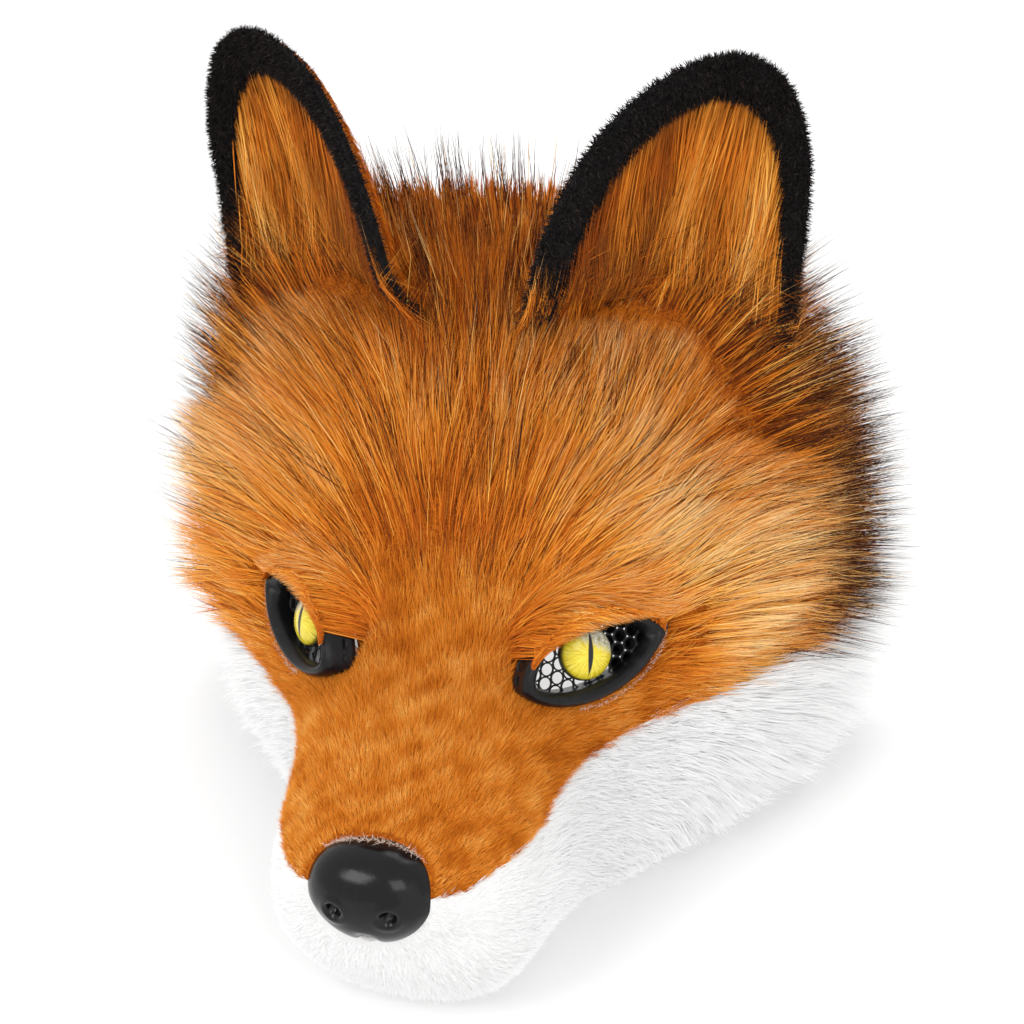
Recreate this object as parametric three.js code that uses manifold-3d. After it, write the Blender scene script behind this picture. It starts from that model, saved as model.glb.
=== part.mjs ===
// Plush fox mask, standing on its lower hem with the nose towards -Y. A thin stiff shell carries pieces of
// short plush and long fur, two cupped ears, two glass eyes in moulded lids and a moulded nose.
// Lengths are millimetres. While it is built, y counts back from the stop, where muzzle and forehead meet.
import * as THREE from "three";
import { mergeVertices } from "three/addons/utils/BufferGeometryUtils.js";
import Module from "manifold-3d";

const wasm = await Module();
wasm.setup();

// Shell
const HEAD_WIDTH = 196;
const HEAD_HEIGHT = 211;
const HEAD_DEPTH = 123;
const MUZZLE_LENGTH = 77;
const MUZZLE_WIDTH = 82;
const MUZZLE_HEIGHT = 84;
const SHELL_WALL = 3;

// Fur and plush
const PLUSH_DEPTH = 6;
const FUR_DEPTH = 18;
const FUR_OVERHANG = 7;
const LOCK_LENGTH = 40;
const LOCK_WIDTH = 26;
const LOCK_THICKNESS = 6;
const LOCK_SPACING = 29;
const HEM_CLEARANCE = 2;

// Ears
const EAR_HEIGHT = 102;
const EAR_WIDTH = 98;
const EAR_THICKNESS = 4;
const EAR_CUP = 20;
const EAR_RISE = 34;
const EAR_ROOT = 20;
const TRIM_WIDTH = 14;
const TRIM_THICKNESS = 3.5;
const TRIM_OVERHANG = 2;
const EAR_FUR_DEPTH = 2.5;
const EAR_FUR_RISE = 9;
const EAR_LOCK_ROWS = 2;

// Eyes
const EYE_WIDTH = 54;
const LID_RISE = 16;
const LID_DROP = 13.5;
const LOWER_LID_WIDTH = 5.5;
const UPPER_LID_WIDTH = 3.5;
const LID_PROUD = 4;
const LID_ROOT = 8;
const MESH_THICKNESS = 1.2;
const MESH_DEPTH = 3.5;
const MESH_PITCH = 4.8;
const MESH_HOLE = 4;
const HOLE_CORNERS = 6;
const GLASS_DIAMETER = 19.2;
const GLASS_HEIGHT = 5.5;
const GLASS_LIFT = 2.5;

// Nose
const NOSE_WIDTH = 46;
const NOSE_HEIGHT = 35;
const NOSE_DEPTH = 32;
const NOSTRIL_SPACING = 19;
const NOSTRIL_DIAMETER = 6;
const NOSTRIL_DEPTH = 5;

// Clearances
const SEAM_GAP = 0.35;
const FIT_GAP = 0.5;
const EAR_CLEARANCE = 1.2;

const RING_SIDES = 20;
const EYE_SIDES = 18;
const FACET_TOLERANCE = 0.2;
const FAR = 400;

const orange = { color: 0xc86e1e, roughness: 0.95, metalness: 0 };
const gold = { color: 0xd88a34, roughness: 0.95, metalness: 0 };
const white = { color: 0xf0eeec, roughness: 0.95, metalness: 0 };
const blackPlush = { color: 0x191614, roughness: 1, metalness: 0 };
const blackMoulded = { color: 0x101012, roughness: 0.35, metalness: 0 };
const foam = { color: 0xd9d6d2, roughness: 0.9, metalness: 0 };
const glass = { color: 0xd8c53a, roughness: 0.08, metalness: 0 };

// Sections of the shell from the nose back. On the muzzle, back is a share of its length, half of half its
// width, and top, waist and sole of its height. On the head they are shares of the head's sizes.
// boxy is the exponent of the section's rounding above the waist, and pile the fur's share of its full depth.
const muzzleSections = [
  { back: -1.0, half: 0.42, top: 0.786, waist: 0.6, sole: 0.5, boxy: 2.3, pile: 1 },
  { back: -0.95, half: 0.7, top: 0.827, waist: 0.56, sole: 0.36, boxy: 2.5, pile: 1 },
  { back: -0.87, half: 0.86, top: 0.857, waist: 0.52, sole: 0.22, boxy: 2.6, pile: 1 },
  { back: -0.75, half: 0.96, top: 0.881, waist: 0.48, sole: 0.06, boxy: 2.8, pile: 1 },
  { back: -0.61, half: 1.01, top: 0.929, waist: 0.48, sole: -0.02, boxy: 3.0, pile: 1 },
  { back: -0.42, half: 1.03, top: 0.99, waist: 0.5, sole: -0.1, boxy: 3.3, pile: 1.05 },
  { back: -0.21, half: 1.08, top: 1.07, waist: 0.55, sole: -0.2, boxy: 3.6, pile: 1.15 },
];
const headSections = [
  { back: 0.0, half: 0.55, top: 0.467, waist: 0.256, sole: -0.12, boxy: 3.7, pile: 0.45 },
  { back: 0.114, half: 0.69, top: 0.507, waist: 0.284, sole: -0.13, boxy: 3.2, pile: 0.5 },
  { back: 0.228, half: 0.8, top: 0.55, waist: 0.313, sole: -0.14, boxy: 2.8, pile: 0.58 },
  { back: 0.341, half: 0.88, top: 0.605, waist: 0.341, sole: -0.16, boxy: 2.6, pile: 0.75 },
  { back: 0.455, half: 0.935, top: 0.685, waist: 0.37, sole: -0.18, boxy: 2.5, pile: 0.9 },
  { back: 0.553, half: 0.965, top: 0.79, waist: 0.4, sole: -0.2, boxy: 2.4, pile: 1.05 },
  { back: 0.65, half: 0.985, top: 0.9, waist: 0.417, sole: -0.23, boxy: 2.4, pile: 1.15 },
  { back: 0.765, half: 1.0, top: 0.965, waist: 0.425, sole: -0.26, boxy: 2.4, pile: 1.2 },
  { back: 0.91, half: 1.0, top: 0.995, waist: 0.425, sole: -0.28, boxy: 2.4, pile: 1.2 },
  { back: 1.06, half: 0.99, top: 1.0, waist: 0.425, sole: -0.3, boxy: 2.4, pile: 1.15 },
];
const JAW_ROUNDING = 2.3;

const sections = [
  ...muzzleSections.map((s) => ({
    y: s.back * MUZZLE_LENGTH,
    half: (s.half * MUZZLE_WIDTH) / 2,
    top: s.top * MUZZLE_HEIGHT,
    waist: s.waist * MUZZLE_HEIGHT,
    sole: s.sole * MUZZLE_HEIGHT,
    boxy: s.boxy,
    pile: s.pile * PLUSH_DEPTH,
  })),
  ...headSections.map((s) => ({
    y: s.back * HEAD_DEPTH,
    half: (s.half * HEAD_WIDTH) / 2,
    top: s.top * HEAD_HEIGHT,
    waist: s.waist * HEAD_HEIGHT,
    sole: s.sole * HEAD_HEIGHT,
    boxy: s.boxy,
    pile: s.pile * FUR_DEPTH,
  })),
];
const STOP_ROW = muzzleSections.length;
const LAST_ROW = sections.length - 1;

// A column of the sections, smooth between rows
function sectionValue(column, row) {
  const first = Math.min(Math.floor(row), LAST_ROW - 1);
  const t = row - first;
  const [a, b, c, d] = [-1, 0, 1, 2].map((step) => {
    const at = Math.min(Math.max(first + step, 0), LAST_ROW);
    return sections[at][column];
  });
  return b + 0.5 * t * (c - a + t * (2 * a - 5 * b + 4 * c - d + t * (3 * (b - c) + d - a)));
}

function signedPower(value, power) {
  return Math.sign(value) * Math.abs(value) ** power;
}

function sectionPoint(row, turn) {
  const value = (column) => sectionValue(column, row);
  const above = Math.sin(turn) > 0;
  const power = 2 / (above ? value("boxy") : JAW_ROUNDING);
  const reach = above ? value("top") - value("waist") : value("waist") - value("sole");
  return new THREE.Vector3(
    value("half") * signedPower(Math.cos(turn), power),
    value("y"),
    value("waist") + reach * signedPower(Math.sin(turn), power),
  );
}

// The shell's outer surface: turn runs round the section from +X over the top
function skin(row, turn) {
  const step = 0.06;
  const before = Math.max(row - step, 0);
  const after = Math.min(row + step, LAST_ROW);
  const back = sectionPoint(after, turn).sub(sectionPoint(before, turn));
  const round = sectionPoint(row, turn + step).sub(sectionPoint(row, turn - step));
  return { point: sectionPoint(row, turn), normal: back.cross(round).normalize() };
}

// Closed solids

function toSolid(geometry) {
  const bare = new THREE.BufferGeometry();
  bare.setAttribute("position", geometry.getAttribute("position"));
  if (geometry.index) bare.setIndex(geometry.index);
  const merged = mergeVertices(bare, 1e-4);
  return new wasm.Manifold(
    new wasm.Mesh({
      numProp: 3,
      vertProperties: new Float32Array(merged.getAttribute("position").array),
      triVerts: new Uint32Array(merged.index.array),
    }),
  );
}

function toGeometry(solid) {
  const mesh = solid.getMesh();
  const geometry = new THREE.BufferGeometry();
  geometry.setAttribute("position", new THREE.BufferAttribute(new Float32Array(mesh.vertProperties), 3));
  geometry.setIndex(new THREE.BufferAttribute(new Uint32Array(mesh.triVerts), 1));
  geometry.computeVertexNormals();
  return geometry;
}

function meshGeometry(points, faces) {
  let volume = 0;
  for (let f = 0; f < faces.length; f += 3) {
    const [a, b, c] = [points[faces[f]], points[faces[f + 1]], points[faces[f + 2]]];
    volume += a.dot(new THREE.Vector3().crossVectors(b, c));
  }
  const turned = volume < 0 ? faces.slice().reverse() : faces;
  const geometry = new THREE.BufferGeometry();
  geometry.setAttribute("position", new THREE.Float32BufferAttribute(points.flatMap((p) => p.toArray()), 3));
  geometry.setIndex(turned);
  return geometry;
}

// Joins rings of equal length. A tip point closes each end; without tips the last ring joins the first.
function loft(rings, firstTip, lastTip) {
  const sides = rings[0].length;
  const points = rings.flat();
  const faces = [];
  const spans = firstTip ? rings.length - 1 : rings.length;
  for (let r = 0; r < spans; r++) {
    const next = (r + 1) % rings.length;
    for (let i = 0; i < sides; i++) {
      const j = (i + 1) % sides;
      const [a, b, c, d] = [r * sides + i, r * sides + j, next * sides + i, next * sides + j];
      faces.push(a, b, d, a, d, c);
    }
  }
  if (firstTip) {
    const last = (rings.length - 1) * sides;
    points.push(firstTip, lastTip);
    for (let i = 0; i < sides; i++) {
      const j = (i + 1) % sides;
      faces.push(j, i, points.length - 2, last + i, last + j, points.length - 1);
    }
  }
  return toSolid(meshGeometry(points, faces));
}

function middle(ring) {
  return ring.reduce((sum, p) => sum.add(p), new THREE.Vector3()).divideScalar(ring.length);
}

function mirrored(solid) {
  const geometry = toGeometry(solid);
  geometry.applyMatrix4(new THREE.Matrix4().makeScale(-1, 1, 1));
  const index = Array.from(geometry.index.array).reverse();
  geometry.setIndex(index);
  return toSolid(geometry);
}

// A side-view outline of [y, z] points, run across the head between two x places
function acrossHead(outline, from = -FAR, to = FAR) {
  const shape = new THREE.Shape(outline.map(([y, z]) => new THREE.Vector2(y, z)));
  const geometry = new THREE.ExtrudeGeometry(shape, { depth: to - from, bevelEnabled: false });
  const toYZ = new THREE.Matrix4().makeBasis(
    new THREE.Vector3(0, 1, 0),
    new THREE.Vector3(0, 0, 1),
    new THREE.Vector3(1, 0, 0),
  );
  geometry.applyMatrix4(toYZ);
  geometry.translate(from, 0, 0);
  return toSolid(geometry);
}

function boxBetween(low, high) {
  const size = high.clone().sub(low);
  const geometry = new THREE.BoxGeometry(size.x, size.y, size.z);
  const centre = low.clone().add(high).multiplyScalar(0.5);
  geometry.translate(centre.x, centre.y, centre.z);
  return toSolid(geometry);
}

function behind(y) {
  return boxBetween(new THREE.Vector3(-FAR, y, -FAR), new THREE.Vector3(FAR, FAR, FAR));
}

function without(solid, others) {
  return others.reduce((rest, other) => rest.subtract(other), solid);
}

// Drops the loose tips and the sliver facets that a cut can leave
function mainBody(solid) {
  const bodies = solid.decompose();
  const body = bodies.reduce((best, next) => (next.volume() > best.volume() ? next : best));
  return body.simplify(FACET_TOLERANCE);
}

// The head at a lift off the shell, as share of the fur's depth plus a fixed distance
function head(share, distance) {
  const rings = sections.map((section, row) =>
    Array.from({ length: RING_SIDES }, (_, side) => {
      const { point, normal } = skin(row, (side / RING_SIDES) * 2 * Math.PI);
      return point.addScaledVector(normal, share * section.pile + distance);
    }),
  );
  const ahead = new THREE.Vector3(0, -(1 + share * PLUSH_DEPTH + distance), 0);
  return loft(rings, middle(rings[0]).add(ahead), middle(rings[LAST_ROW]));
}

const belowFloor = boxBetween(new THREE.Vector3(-FAR, -FAR, -FAR), new THREE.Vector3(FAR, FAR, 0));
const belowHem = boxBetween(new THREE.Vector3(-FAR, -FAR, -FAR), new THREE.Vector3(FAR, FAR, HEM_CLEARANCE));
const behindRim = behind(HEAD_DEPTH);
const behindFur = behind(HEAD_DEPTH + FUR_OVERHANG);
const seatedHead = head(0, SEAM_GAP);

// Eyes: a frame at each eye with its own across, up and out directions

const EYE_ROW = STOP_ROW + 0.86;
const EYE_TURN = THREE.MathUtils.degToRad(49);
const EYE_YAW = THREE.MathUtils.degToRad(45);
const EYE_TILT = THREE.MathUtils.degToRad(26);
const EYE_SLANT = THREE.MathUtils.degToRad(4);
const EYE_STANDOFF = 3.5;

const eyeFrame = (() => {
  const { point, normal } = skin(EYE_ROW, EYE_TURN);
  const turn = new THREE.Euler(Math.PI / 2 - EYE_TILT, 0, EYE_YAW, "ZXY");
  const frame = new THREE.Matrix4().makeRotationFromEuler(turn);
  frame.multiply(new THREE.Matrix4().makeRotationZ(EYE_SLANT));
  return frame.setPosition(point.addScaledVector(normal, EYE_STANDOFF));
})();

// The eye's outline, drawn in by a share of the lid's width and a further inset
function almond(angle, share, inset) {
  const rise = Math.sin(angle);
  const height = rise > 0 ? LID_RISE - share * UPPER_LID_WIDTH : LID_DROP - share * LOWER_LID_WIDTH;
  return new THREE.Vector2(
    (EYE_WIDTH / 2 - share * LOWER_LID_WIDTH - inset) * Math.cos(angle),
    (height - inset) * rise * Math.abs(rise) ** 0.3,
  );
}

function almondRing(share, inset, out) {
  return Array.from({ length: EYE_SIDES }, (_, i) => {
    const flat = almond((i / EYE_SIDES) * 2 * Math.PI, share, inset);
    return new THREE.Vector3(flat.x, flat.y, out).applyMatrix4(eyeFrame);
  });
}

function eyeOpening(clearance) {
  const rings = [almondRing(0, -clearance, -FUR_DEPTH * 2), almondRing(0, -clearance, FUR_DEPTH * 2)];
  return loft(rings, middle(rings[0]), middle(rings[1]));
}

function eyelid() {
  const profile = [
    [0, -LID_ROOT],
    [0, 0.35 * LID_PROUD],
    [0.3, LID_PROUD],
    [0.7, 0.85 * LID_PROUD],
    [1, 0.1 * LID_PROUD],
    [1, -LID_ROOT],
  ];
  return loft(profile.map(([inward, out]) => almondRing(inward, 0, out)));
}

function eyeMesh() {
  const edge = Array.from({ length: EYE_SIDES }, (_, i) => almond((i / EYE_SIDES) * 2 * Math.PI, 1, SEAM_GAP));
  const shape = new THREE.Shape(edge);
  const rowPitch = MESH_PITCH * Math.sin(Math.PI / 3);
  for (let row = -4; row <= 4; row++) {
    for (let step = -6; step <= 6; step++) {
      const x = (step + (Math.abs(row) % 2) / 2) * MESH_PITCH;
      const y = row * rowPitch + GLASS_LIFT;
      const reach = EYE_WIDTH / 2 - LOWER_LID_WIDTH - MESH_HOLE;
      const height = (y > 0 ? LID_RISE - UPPER_LID_WIDTH : LID_DROP - LOWER_LID_WIDTH) - 0.6 * MESH_HOLE;
      const inFrame = (x / reach) ** 2 + (y / height) ** 2 < 1;
      const behindGlass = Math.hypot(x, y - GLASS_LIFT) < GLASS_DIAMETER / 2;
      if (!inFrame || behindGlass) continue;
      const hole = new THREE.Path();
      hole.setFromPoints(
        Array.from({ length: HOLE_CORNERS }, (_, corner) => {
          const angle = ((corner + 0.5) / HOLE_CORNERS) * 2 * Math.PI;
          return new THREE.Vector2(x + (MESH_HOLE / 2) * Math.cos(angle), y + (MESH_HOLE / 2) * Math.sin(angle));
        }),
      );
      shape.holes.push(hole);
    }
  }
  const geometry = new THREE.ExtrudeGeometry(shape, { depth: MESH_THICKNESS, bevelEnabled: false });
  geometry.translate(0, 0, -MESH_DEPTH - MESH_THICKNESS);
  return toSolid(geometry.applyMatrix4(eyeFrame));
}

function glassEye() {
  const rings = [0, 0.4, 0.75].map((share) =>
    Array.from({ length: EYE_SIDES }, (_, i) => {
      const angle = (i / EYE_SIDES) * 2 * Math.PI;
      const radius = (GLASS_DIAMETER / 2) * Math.sqrt(1 - share ** 2);
      const out = SEAM_GAP - MESH_DEPTH + GLASS_HEIGHT * share;
      return new THREE.Vector3(radius * Math.cos(angle), radius * Math.sin(angle) + GLASS_LIFT, out);
    }),
  );
  const tip = new THREE.Vector3(0, GLASS_LIFT, SEAM_GAP - MESH_DEPTH + GLASS_HEIGHT);
  const points = rings.map((ring) => ring.map((p) => p.applyMatrix4(eyeFrame)));
  return loft(points, middle(points[0]), tip.applyMatrix4(eyeFrame));
}

// Nose

const noseCentre = new THREE.Vector3(0, -0.935 * MUZZLE_LENGTH, 0.72 * MUZZLE_HEIGHT);

function noseBody(clearance) {
  const geometry = new THREE.SphereGeometry(1, 16, 12);
  const places = geometry.getAttribute("position");
  for (let i = 0; i < places.count; i++) {
    const p = new THREE.Vector3().fromBufferAttribute(places, i);
    const chinward = THREE.MathUtils.clamp(-p.z, 0, 1);
    const narrow = 1 - 0.22 * chinward;
    const groove = p.y < 0 ? 0.16 * chinward * Math.exp(-((p.x / 0.14) ** 2)) : 0;
    places.setXYZ(
      i,
      noseCentre.x + signedPower(p.x, 0.85) * narrow * (NOSE_WIDTH / 2 + clearance),
      noseCentre.y + p.y * (1 - groove) * (NOSE_DEPTH / 2 + clearance),
      noseCentre.z + signedPower(p.z, 0.9) * (NOSE_HEIGHT / 2 + clearance),
    );
  }
  return toSolid(geometry);
}

function nose() {
  const reach = NOSE_DEPTH - NOSTRIL_DEPTH;
  const drills = [-1, 1].map((side) => {
    const drill = new THREE.CylinderGeometry(NOSTRIL_DIAMETER / 2.6, NOSTRIL_DIAMETER / 2, NOSE_DEPTH, 10);
    drill.translate((side * NOSTRIL_SPACING) / 2, noseCentre.y - reach, noseCentre.z + 0.04 * NOSE_HEIGHT);
    return toSolid(drill);
  });
  return mainBody(without(noseBody(0), [seatedHead, ...drills]));
}

// Ears: a height field over the plane of each ear's rim, with across, up and out directions

const EAR_ROW = STOP_ROW + 4.86;
const EAR_TURN = THREE.MathUtils.degToRad(56);
const earAcross = new THREE.Vector3(0.857, 0.406, -0.316).normalize();
const earUp = new THREE.Vector3(0.201, 0.301, 0.933).normalize();
const earOut = new THREE.Vector3().crossVectors(earAcross, earUp).normalize();
const earBase = skin(EAR_ROW, EAR_TURN).point.addScaledVector(earUp, EAR_RISE);

// Rim of the right ear: up is a share of its height, inner and outer of half its width
const earRim = [
  { up: 0.22, inner: 1.02, outer: 0.86 },
  { up: 0.46, inner: 0.95, outer: 0.785 },
  { up: 0.68, inner: 0.77, outer: 0.69 },
  { up: 0.85, inner: 0.5, outer: 0.53 },
  { up: 0.96, inner: 0.2, outer: 0.33 },
];
const EAR_FOOT = { up: 0, inner: 0.97, outer: 0.92 };
const EAR_TIP = 0.07;

function earPlace(p, q, out) {
  const cup = EAR_CUP * (1 - (p / (EAR_WIDTH / 2)) ** 2 - (q / EAR_HEIGHT) ** 2);
  const lean = (2.3 * Math.max(0, 0.2 * EAR_HEIGHT - q) ** 2) / EAR_WIDTH;
  return earBase
    .clone()
    .addScaledVector(earAcross, p)
    .addScaledVector(earUp, q)
    .addScaledVector(earOut, out - cup - lean);
}

// The rim from the inner foot over the tip to the outer foot, drawn in by an inset
function earArch(inset) {
  const half = EAR_WIDTH / 2;
  const height = EAR_HEIGHT - inset;
  const growth = 4 * Math.max(-inset, 0);
  const root = {
    up: -(EAR_ROOT + growth) / EAR_HEIGHT,
    inner: 0.92 + growth / EAR_WIDTH,
    outer: 0.9 + growth / EAR_WIDTH,
  };
  const rows = [root, EAR_FOOT, ...earRim];
  const inner = rows.map((row) => [-row.inner * (half - inset), row.up * height]);
  const outer = rows.map((row) => [row.outer * (half - 0.55 * inset), row.up * height]);
  return [...inner, [EAR_TIP * half, height], ...outer.reverse()];
}

// A layer of the ear between two distances off its front face. Its rings are arches at the given insets,
// within a ring halfway in from the trim's inner edge, so that all layers have parallel facets.
function earLayer(insets, front, back) {
  const centre = [0, 0.3 * EAR_HEIGHT];
  const halfway = earArch(TRIM_WIDTH).map(([p, q]) => [(p + centre[0]) / 2, (q + centre[1]) / 2]);
  const outlines = [halfway, ...insets.map(earArch)];
  const ringAt = (outline, out) => outline.map(([p, q]) => earPlace(p, q, out));
  const rings = [
    ...outlines.map((outline) => ringAt(outline, front)),
    ...outlines.reverse().map((outline) => ringAt(outline, back)),
  ];
  return loft(rings, earPlace(centre[0], centre[1], front), earPlace(centre[0], centre[1], back));
}

function earShell() {
  return mainBody(earLayer([TRIM_WIDTH, TRIM_OVERHANG], 0, -EAR_THICKNESS).subtract(seatedHead));
}

// The band lies on the front face and folds over its edge
function earTrim() {
  const fold = -0.6 * TRIM_THICKNESS;
  const edge = 0.6 * TRIM_THICKNESS;
  const [outer, rim, inner] = [0, TRIM_OVERHANG - SEAM_GAP, TRIM_WIDTH].map(earArch);
  const rings = outer.map(([p, q], i) => [
    earPlace(p, q, fold),
    earPlace(p, q, edge),
    earPlace((p + inner[i][0]) / 2, (q + inner[i][1]) / 2, SEAM_GAP + TRIM_THICKNESS),
    earPlace(inner[i][0], inner[i][1], edge),
    earPlace(inner[i][0], inner[i][1], SEAM_GAP),
    earPlace(rim[i][0], rim[i][1], SEAM_GAP),
    earPlace(rim[i][0], rim[i][1], fold),
  ]);
  return mainBody(loft(rings, middle(rings[0]), middle(rings[rings.length - 1])).subtract(seatedHead));
}

// A tapered lock of fur: flow and normal set its plane, splay lifts it off the skin, sag bends its tip
function lock(root, flow, normal, length, width, splay, sag) {
  const across = new THREE.Vector3().crossVectors(flow, normal).normalize();
  const place = (t) =>
    root
      .clone()
      .addScaledVector(flow, length * t * Math.cos(splay))
      .addScaledVector(normal, length * (t * Math.sin(splay) - sag * t * t));
  const ring = (t, share) => [
    place(t).addScaledVector(across, (-share * width) / 2),
    place(t).addScaledVector(across, (share * width) / 2),
    place(t).addScaledVector(normal, share * LOCK_THICKNESS),
  ];
  const rings = [ring(0, 0.8), ring(0.5, 1)];
  return loft(rings, place(0), place(1));
}

function earFur() {
  const backing = earLayer([TRIM_WIDTH + 2 * FIT_GAP], SEAM_GAP + EAR_FUR_DEPTH, SEAM_GAP);
  const seat = earLayer([TRIM_WIDTH, TRIM_OVERHANG], SEAM_GAP, -EAR_THICKNESS);
  const locks = [];
  for (let row = 0; row < EAR_LOCK_ROWS; row++) {
    const count = 2 + row;
    const q = (0.68 - 0.22 * row) * EAR_HEIGHT;
    for (let i = 0; i < count; i++) {
      const p = ((i + 0.5) / count - 0.5) * EAR_WIDTH * (0.34 + 0.2 * row) + 0.05 * EAR_WIDTH;
      const root = earPlace(p, q, 0.5 * EAR_FUR_DEPTH);
      const down = earPlace(p, q - 1, 0.5 * EAR_FUR_DEPTH).sub(root).normalize();
      locks.push(lock(root, down, earOut, 0.34 * EAR_HEIGHT, 0.8 * LOCK_WIDTH, 0.12, 0.06));
    }
  }
  return mainBody(without(wasm.Manifold.union([backing, ...locks]), [seat, seatedHead]));
}

// The room that an ear takes in the fur
function earRoom() {
  return earLayer([TRIM_WIDTH, -EAR_CLEARANCE], EAR_FUR_RISE, -EAR_THICKNESS - EAR_CLEARANCE);
}

// Pelts

// The seam between orange and white, seen from the side: back as a share of the head's depth, or of the
// muzzle's length ahead of the stop, and up as a share of the head's height
const colourSeam = [
  { back: -1.6, up: 0.32 },
  { back: -0.9, up: 0.297 },
  { back: -0.45, up: 0.293 },
  { back: -0.1, up: 0.325 },
  { back: 0.12, up: 0.352 },
  { back: 0.35, up: 0.338 },
  { back: 0.6, up: 0.318 },
  { back: 2.4, up: 0.3 },
].map((point) => [point.back * (point.back < 0 ? MUZZLE_LENGTH : HEAD_DEPTH), point.up * HEAD_HEIGHT]);

const BROW_HEIGHT = 0.5 * HEAD_HEIGHT;
const BROW_FRONT = -0.065 * MUZZLE_LENGTH;
const TEMPLE_BACK = 0.4 * HEAD_DEPTH;
const CHEEK_FRONT = 0.07 * HEAD_DEPTH;

function aboveSeam(gap) {
  const line = colourSeam.map(([y, z]) => [y, z + gap]);
  return acrossHead([...line, [line[line.length - 1][0], FAR], [line[0][0], FAR]]);
}

function belowSeam(gap) {
  const line = colourSeam.map(([y, z]) => [y, z - gap]);
  return acrossHead([...line, [line[line.length - 1][0], -FAR], [line[0][0], -FAR]].reverse());
}

const longFur = acrossHead([
  [BROW_FRONT, FAR],
  [BROW_FRONT, BROW_HEIGHT],
  [TEMPLE_BACK, BROW_HEIGHT],
  [TEMPLE_BACK, -FAR],
  [FAR, -FAR],
  [FAR, FAR],
]);
const shortPlush = acrossHead([
  [BROW_FRONT - SEAM_GAP, FAR],
  [BROW_FRONT - SEAM_GAP, BROW_HEIGHT - SEAM_GAP],
  [TEMPLE_BACK - SEAM_GAP, BROW_HEIGHT - SEAM_GAP],
  [TEMPLE_BACK - SEAM_GAP, -FAR],
  [-FAR, -FAR],
  [-FAR, FAR],
]);

const eyeRooms = [eyeOpening(FIT_GAP), mirrored(eyeOpening(FIT_GAP))];
const earRooms = [earRoom(), mirrored(earRoom())];

const pelt = without(head(1, 0), [seatedHead, behindFur, belowHem, ...eyeRooms, noseBody(FIT_GAP)]);

// A steady spread of numbers from 0 to 1
function scatter(seed) {
  const value = Math.sin(seed * 12.9898) * 43758.5453;
  return value - Math.floor(value);
}

// Locks of long fur on the right half of the head, fanning away from the stop and sagging to the sides
function furLocks() {
  const fan = new THREE.Vector3(0, -0.25 * MUZZLE_LENGTH, 0.4 * HEAD_HEIGHT);
  const locks = [];
  let seed = 1;
  for (let row = STOP_ROW + 0.4; row < LAST_ROW - 0.6; row += 1.25) {
    const rowLength = Math.PI * sectionValue("half", row);
    const count = Math.round(rowLength / LOCK_SPACING);
    for (let i = 0; i < count; i++) {
      seed += 1;
      const turn = Math.PI / 2 - ((i + 0.5 * (seed % 2)) / count) * Math.PI;
      const { point, normal } = skin(row, turn);
      const flow = point.clone().sub(fan).normalize();
      const back = Math.min(1, (row - STOP_ROW) / 4.5);
      flow.z -= 0.35 * (1 - normal.z) * back;
      flow.addScaledVector(normal, -flow.dot(normal)).normalize();
      const sideways = Math.abs(normal.x);
      const splay = 0.24 + (0.18 + 0.4 * sideways) * back + 0.08 * scatter(seed);
      const length = LOCK_LENGTH * (0.6 + 0.4 * back + 0.2 * scatter(seed + 7));
      const root = point.addScaledVector(normal, 0.4 * sectionValue("pile", row));
      locks.push({ root, solid: lock(root, flow, normal, length, LOCK_WIDTH, splay, 0.1) });
    }
  }
  return locks;
}

const rightLocks = furLocks();

function seamHeight(y) {
  const next = Math.max(1, colourSeam.findIndex((point) => point[0] >= y));
  const [a, b] = [colourSeam[next - 1], colourSeam[next]];
  return a[1] + ((y - a[0]) / (b[0] - a[0])) * (b[1] - a[1]);
}

function foreheadFur() {
  const half = rightLocks.filter(({ root }) => {
    const long = root.y > TEMPLE_BACK || root.z > BROW_HEIGHT;
    return long && root.z > seamHeight(root.y);
  });
  const locks = [...half.map((l) => l.solid), ...half.map((l) => mirrored(l.solid))];
  const base = pelt.intersect(aboveSeam(SEAM_GAP / 2)).intersect(longFur);
  const furred = wasm.Manifold.union([base, ...locks]).intersect(aboveSeam(SEAM_GAP / 2)).intersect(longFur);
  return mainBody(without(furred, [seatedHead, ...eyeRooms, ...earRooms]));
}

function muzzlePlush() {
  return mainBody(pelt.intersect(aboveSeam(SEAM_GAP / 2)).intersect(shortPlush));
}

function cheekRegion(front, back) {
  return acrossHead([[front, -FAR], [back, -FAR], [back, FAR], [front, FAR]]);
}

function lipPlush() {
  const region = cheekRegion(-FAR, CHEEK_FRONT - SEAM_GAP);
  return mainBody(pelt.intersect(belowSeam(SEAM_GAP / 2)).intersect(region));
}

function cheekFur() {
  const region = belowSeam(SEAM_GAP / 2).intersect(cheekRegion(CHEEK_FRONT, FAR));
  const rightSide = boxBetween(new THREE.Vector3(0, -FAR, -FAR), new THREE.Vector3(FAR, FAR, FAR));
  const locks = rightLocks.filter(({ root }) => root.z > HEM_CLEARANCE && root.z < seamHeight(root.y));
  const base = pelt.intersect(region).intersect(rightSide);
  const furred = wasm.Manifold.union([base, ...locks.map((l) => l.solid)]).intersect(region);
  return mainBody(without(furred, [seatedHead, belowHem, ...eyeRooms]));
}

function faceShell() {
  const hollow = head(0, -SHELL_WALL);
  return mainBody(without(head(0, 0), [hollow, belowFloor, behindRim, ...eyeRooms]));
}

// Assembly

const mask = new THREE.Group();

function addPiece(name, solid, finish) {
  const mesh = new THREE.Mesh(toGeometry(solid), new THREE.MeshStandardMaterial(finish));
  mesh.name = name;
  mask.add(mesh);
}

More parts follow.
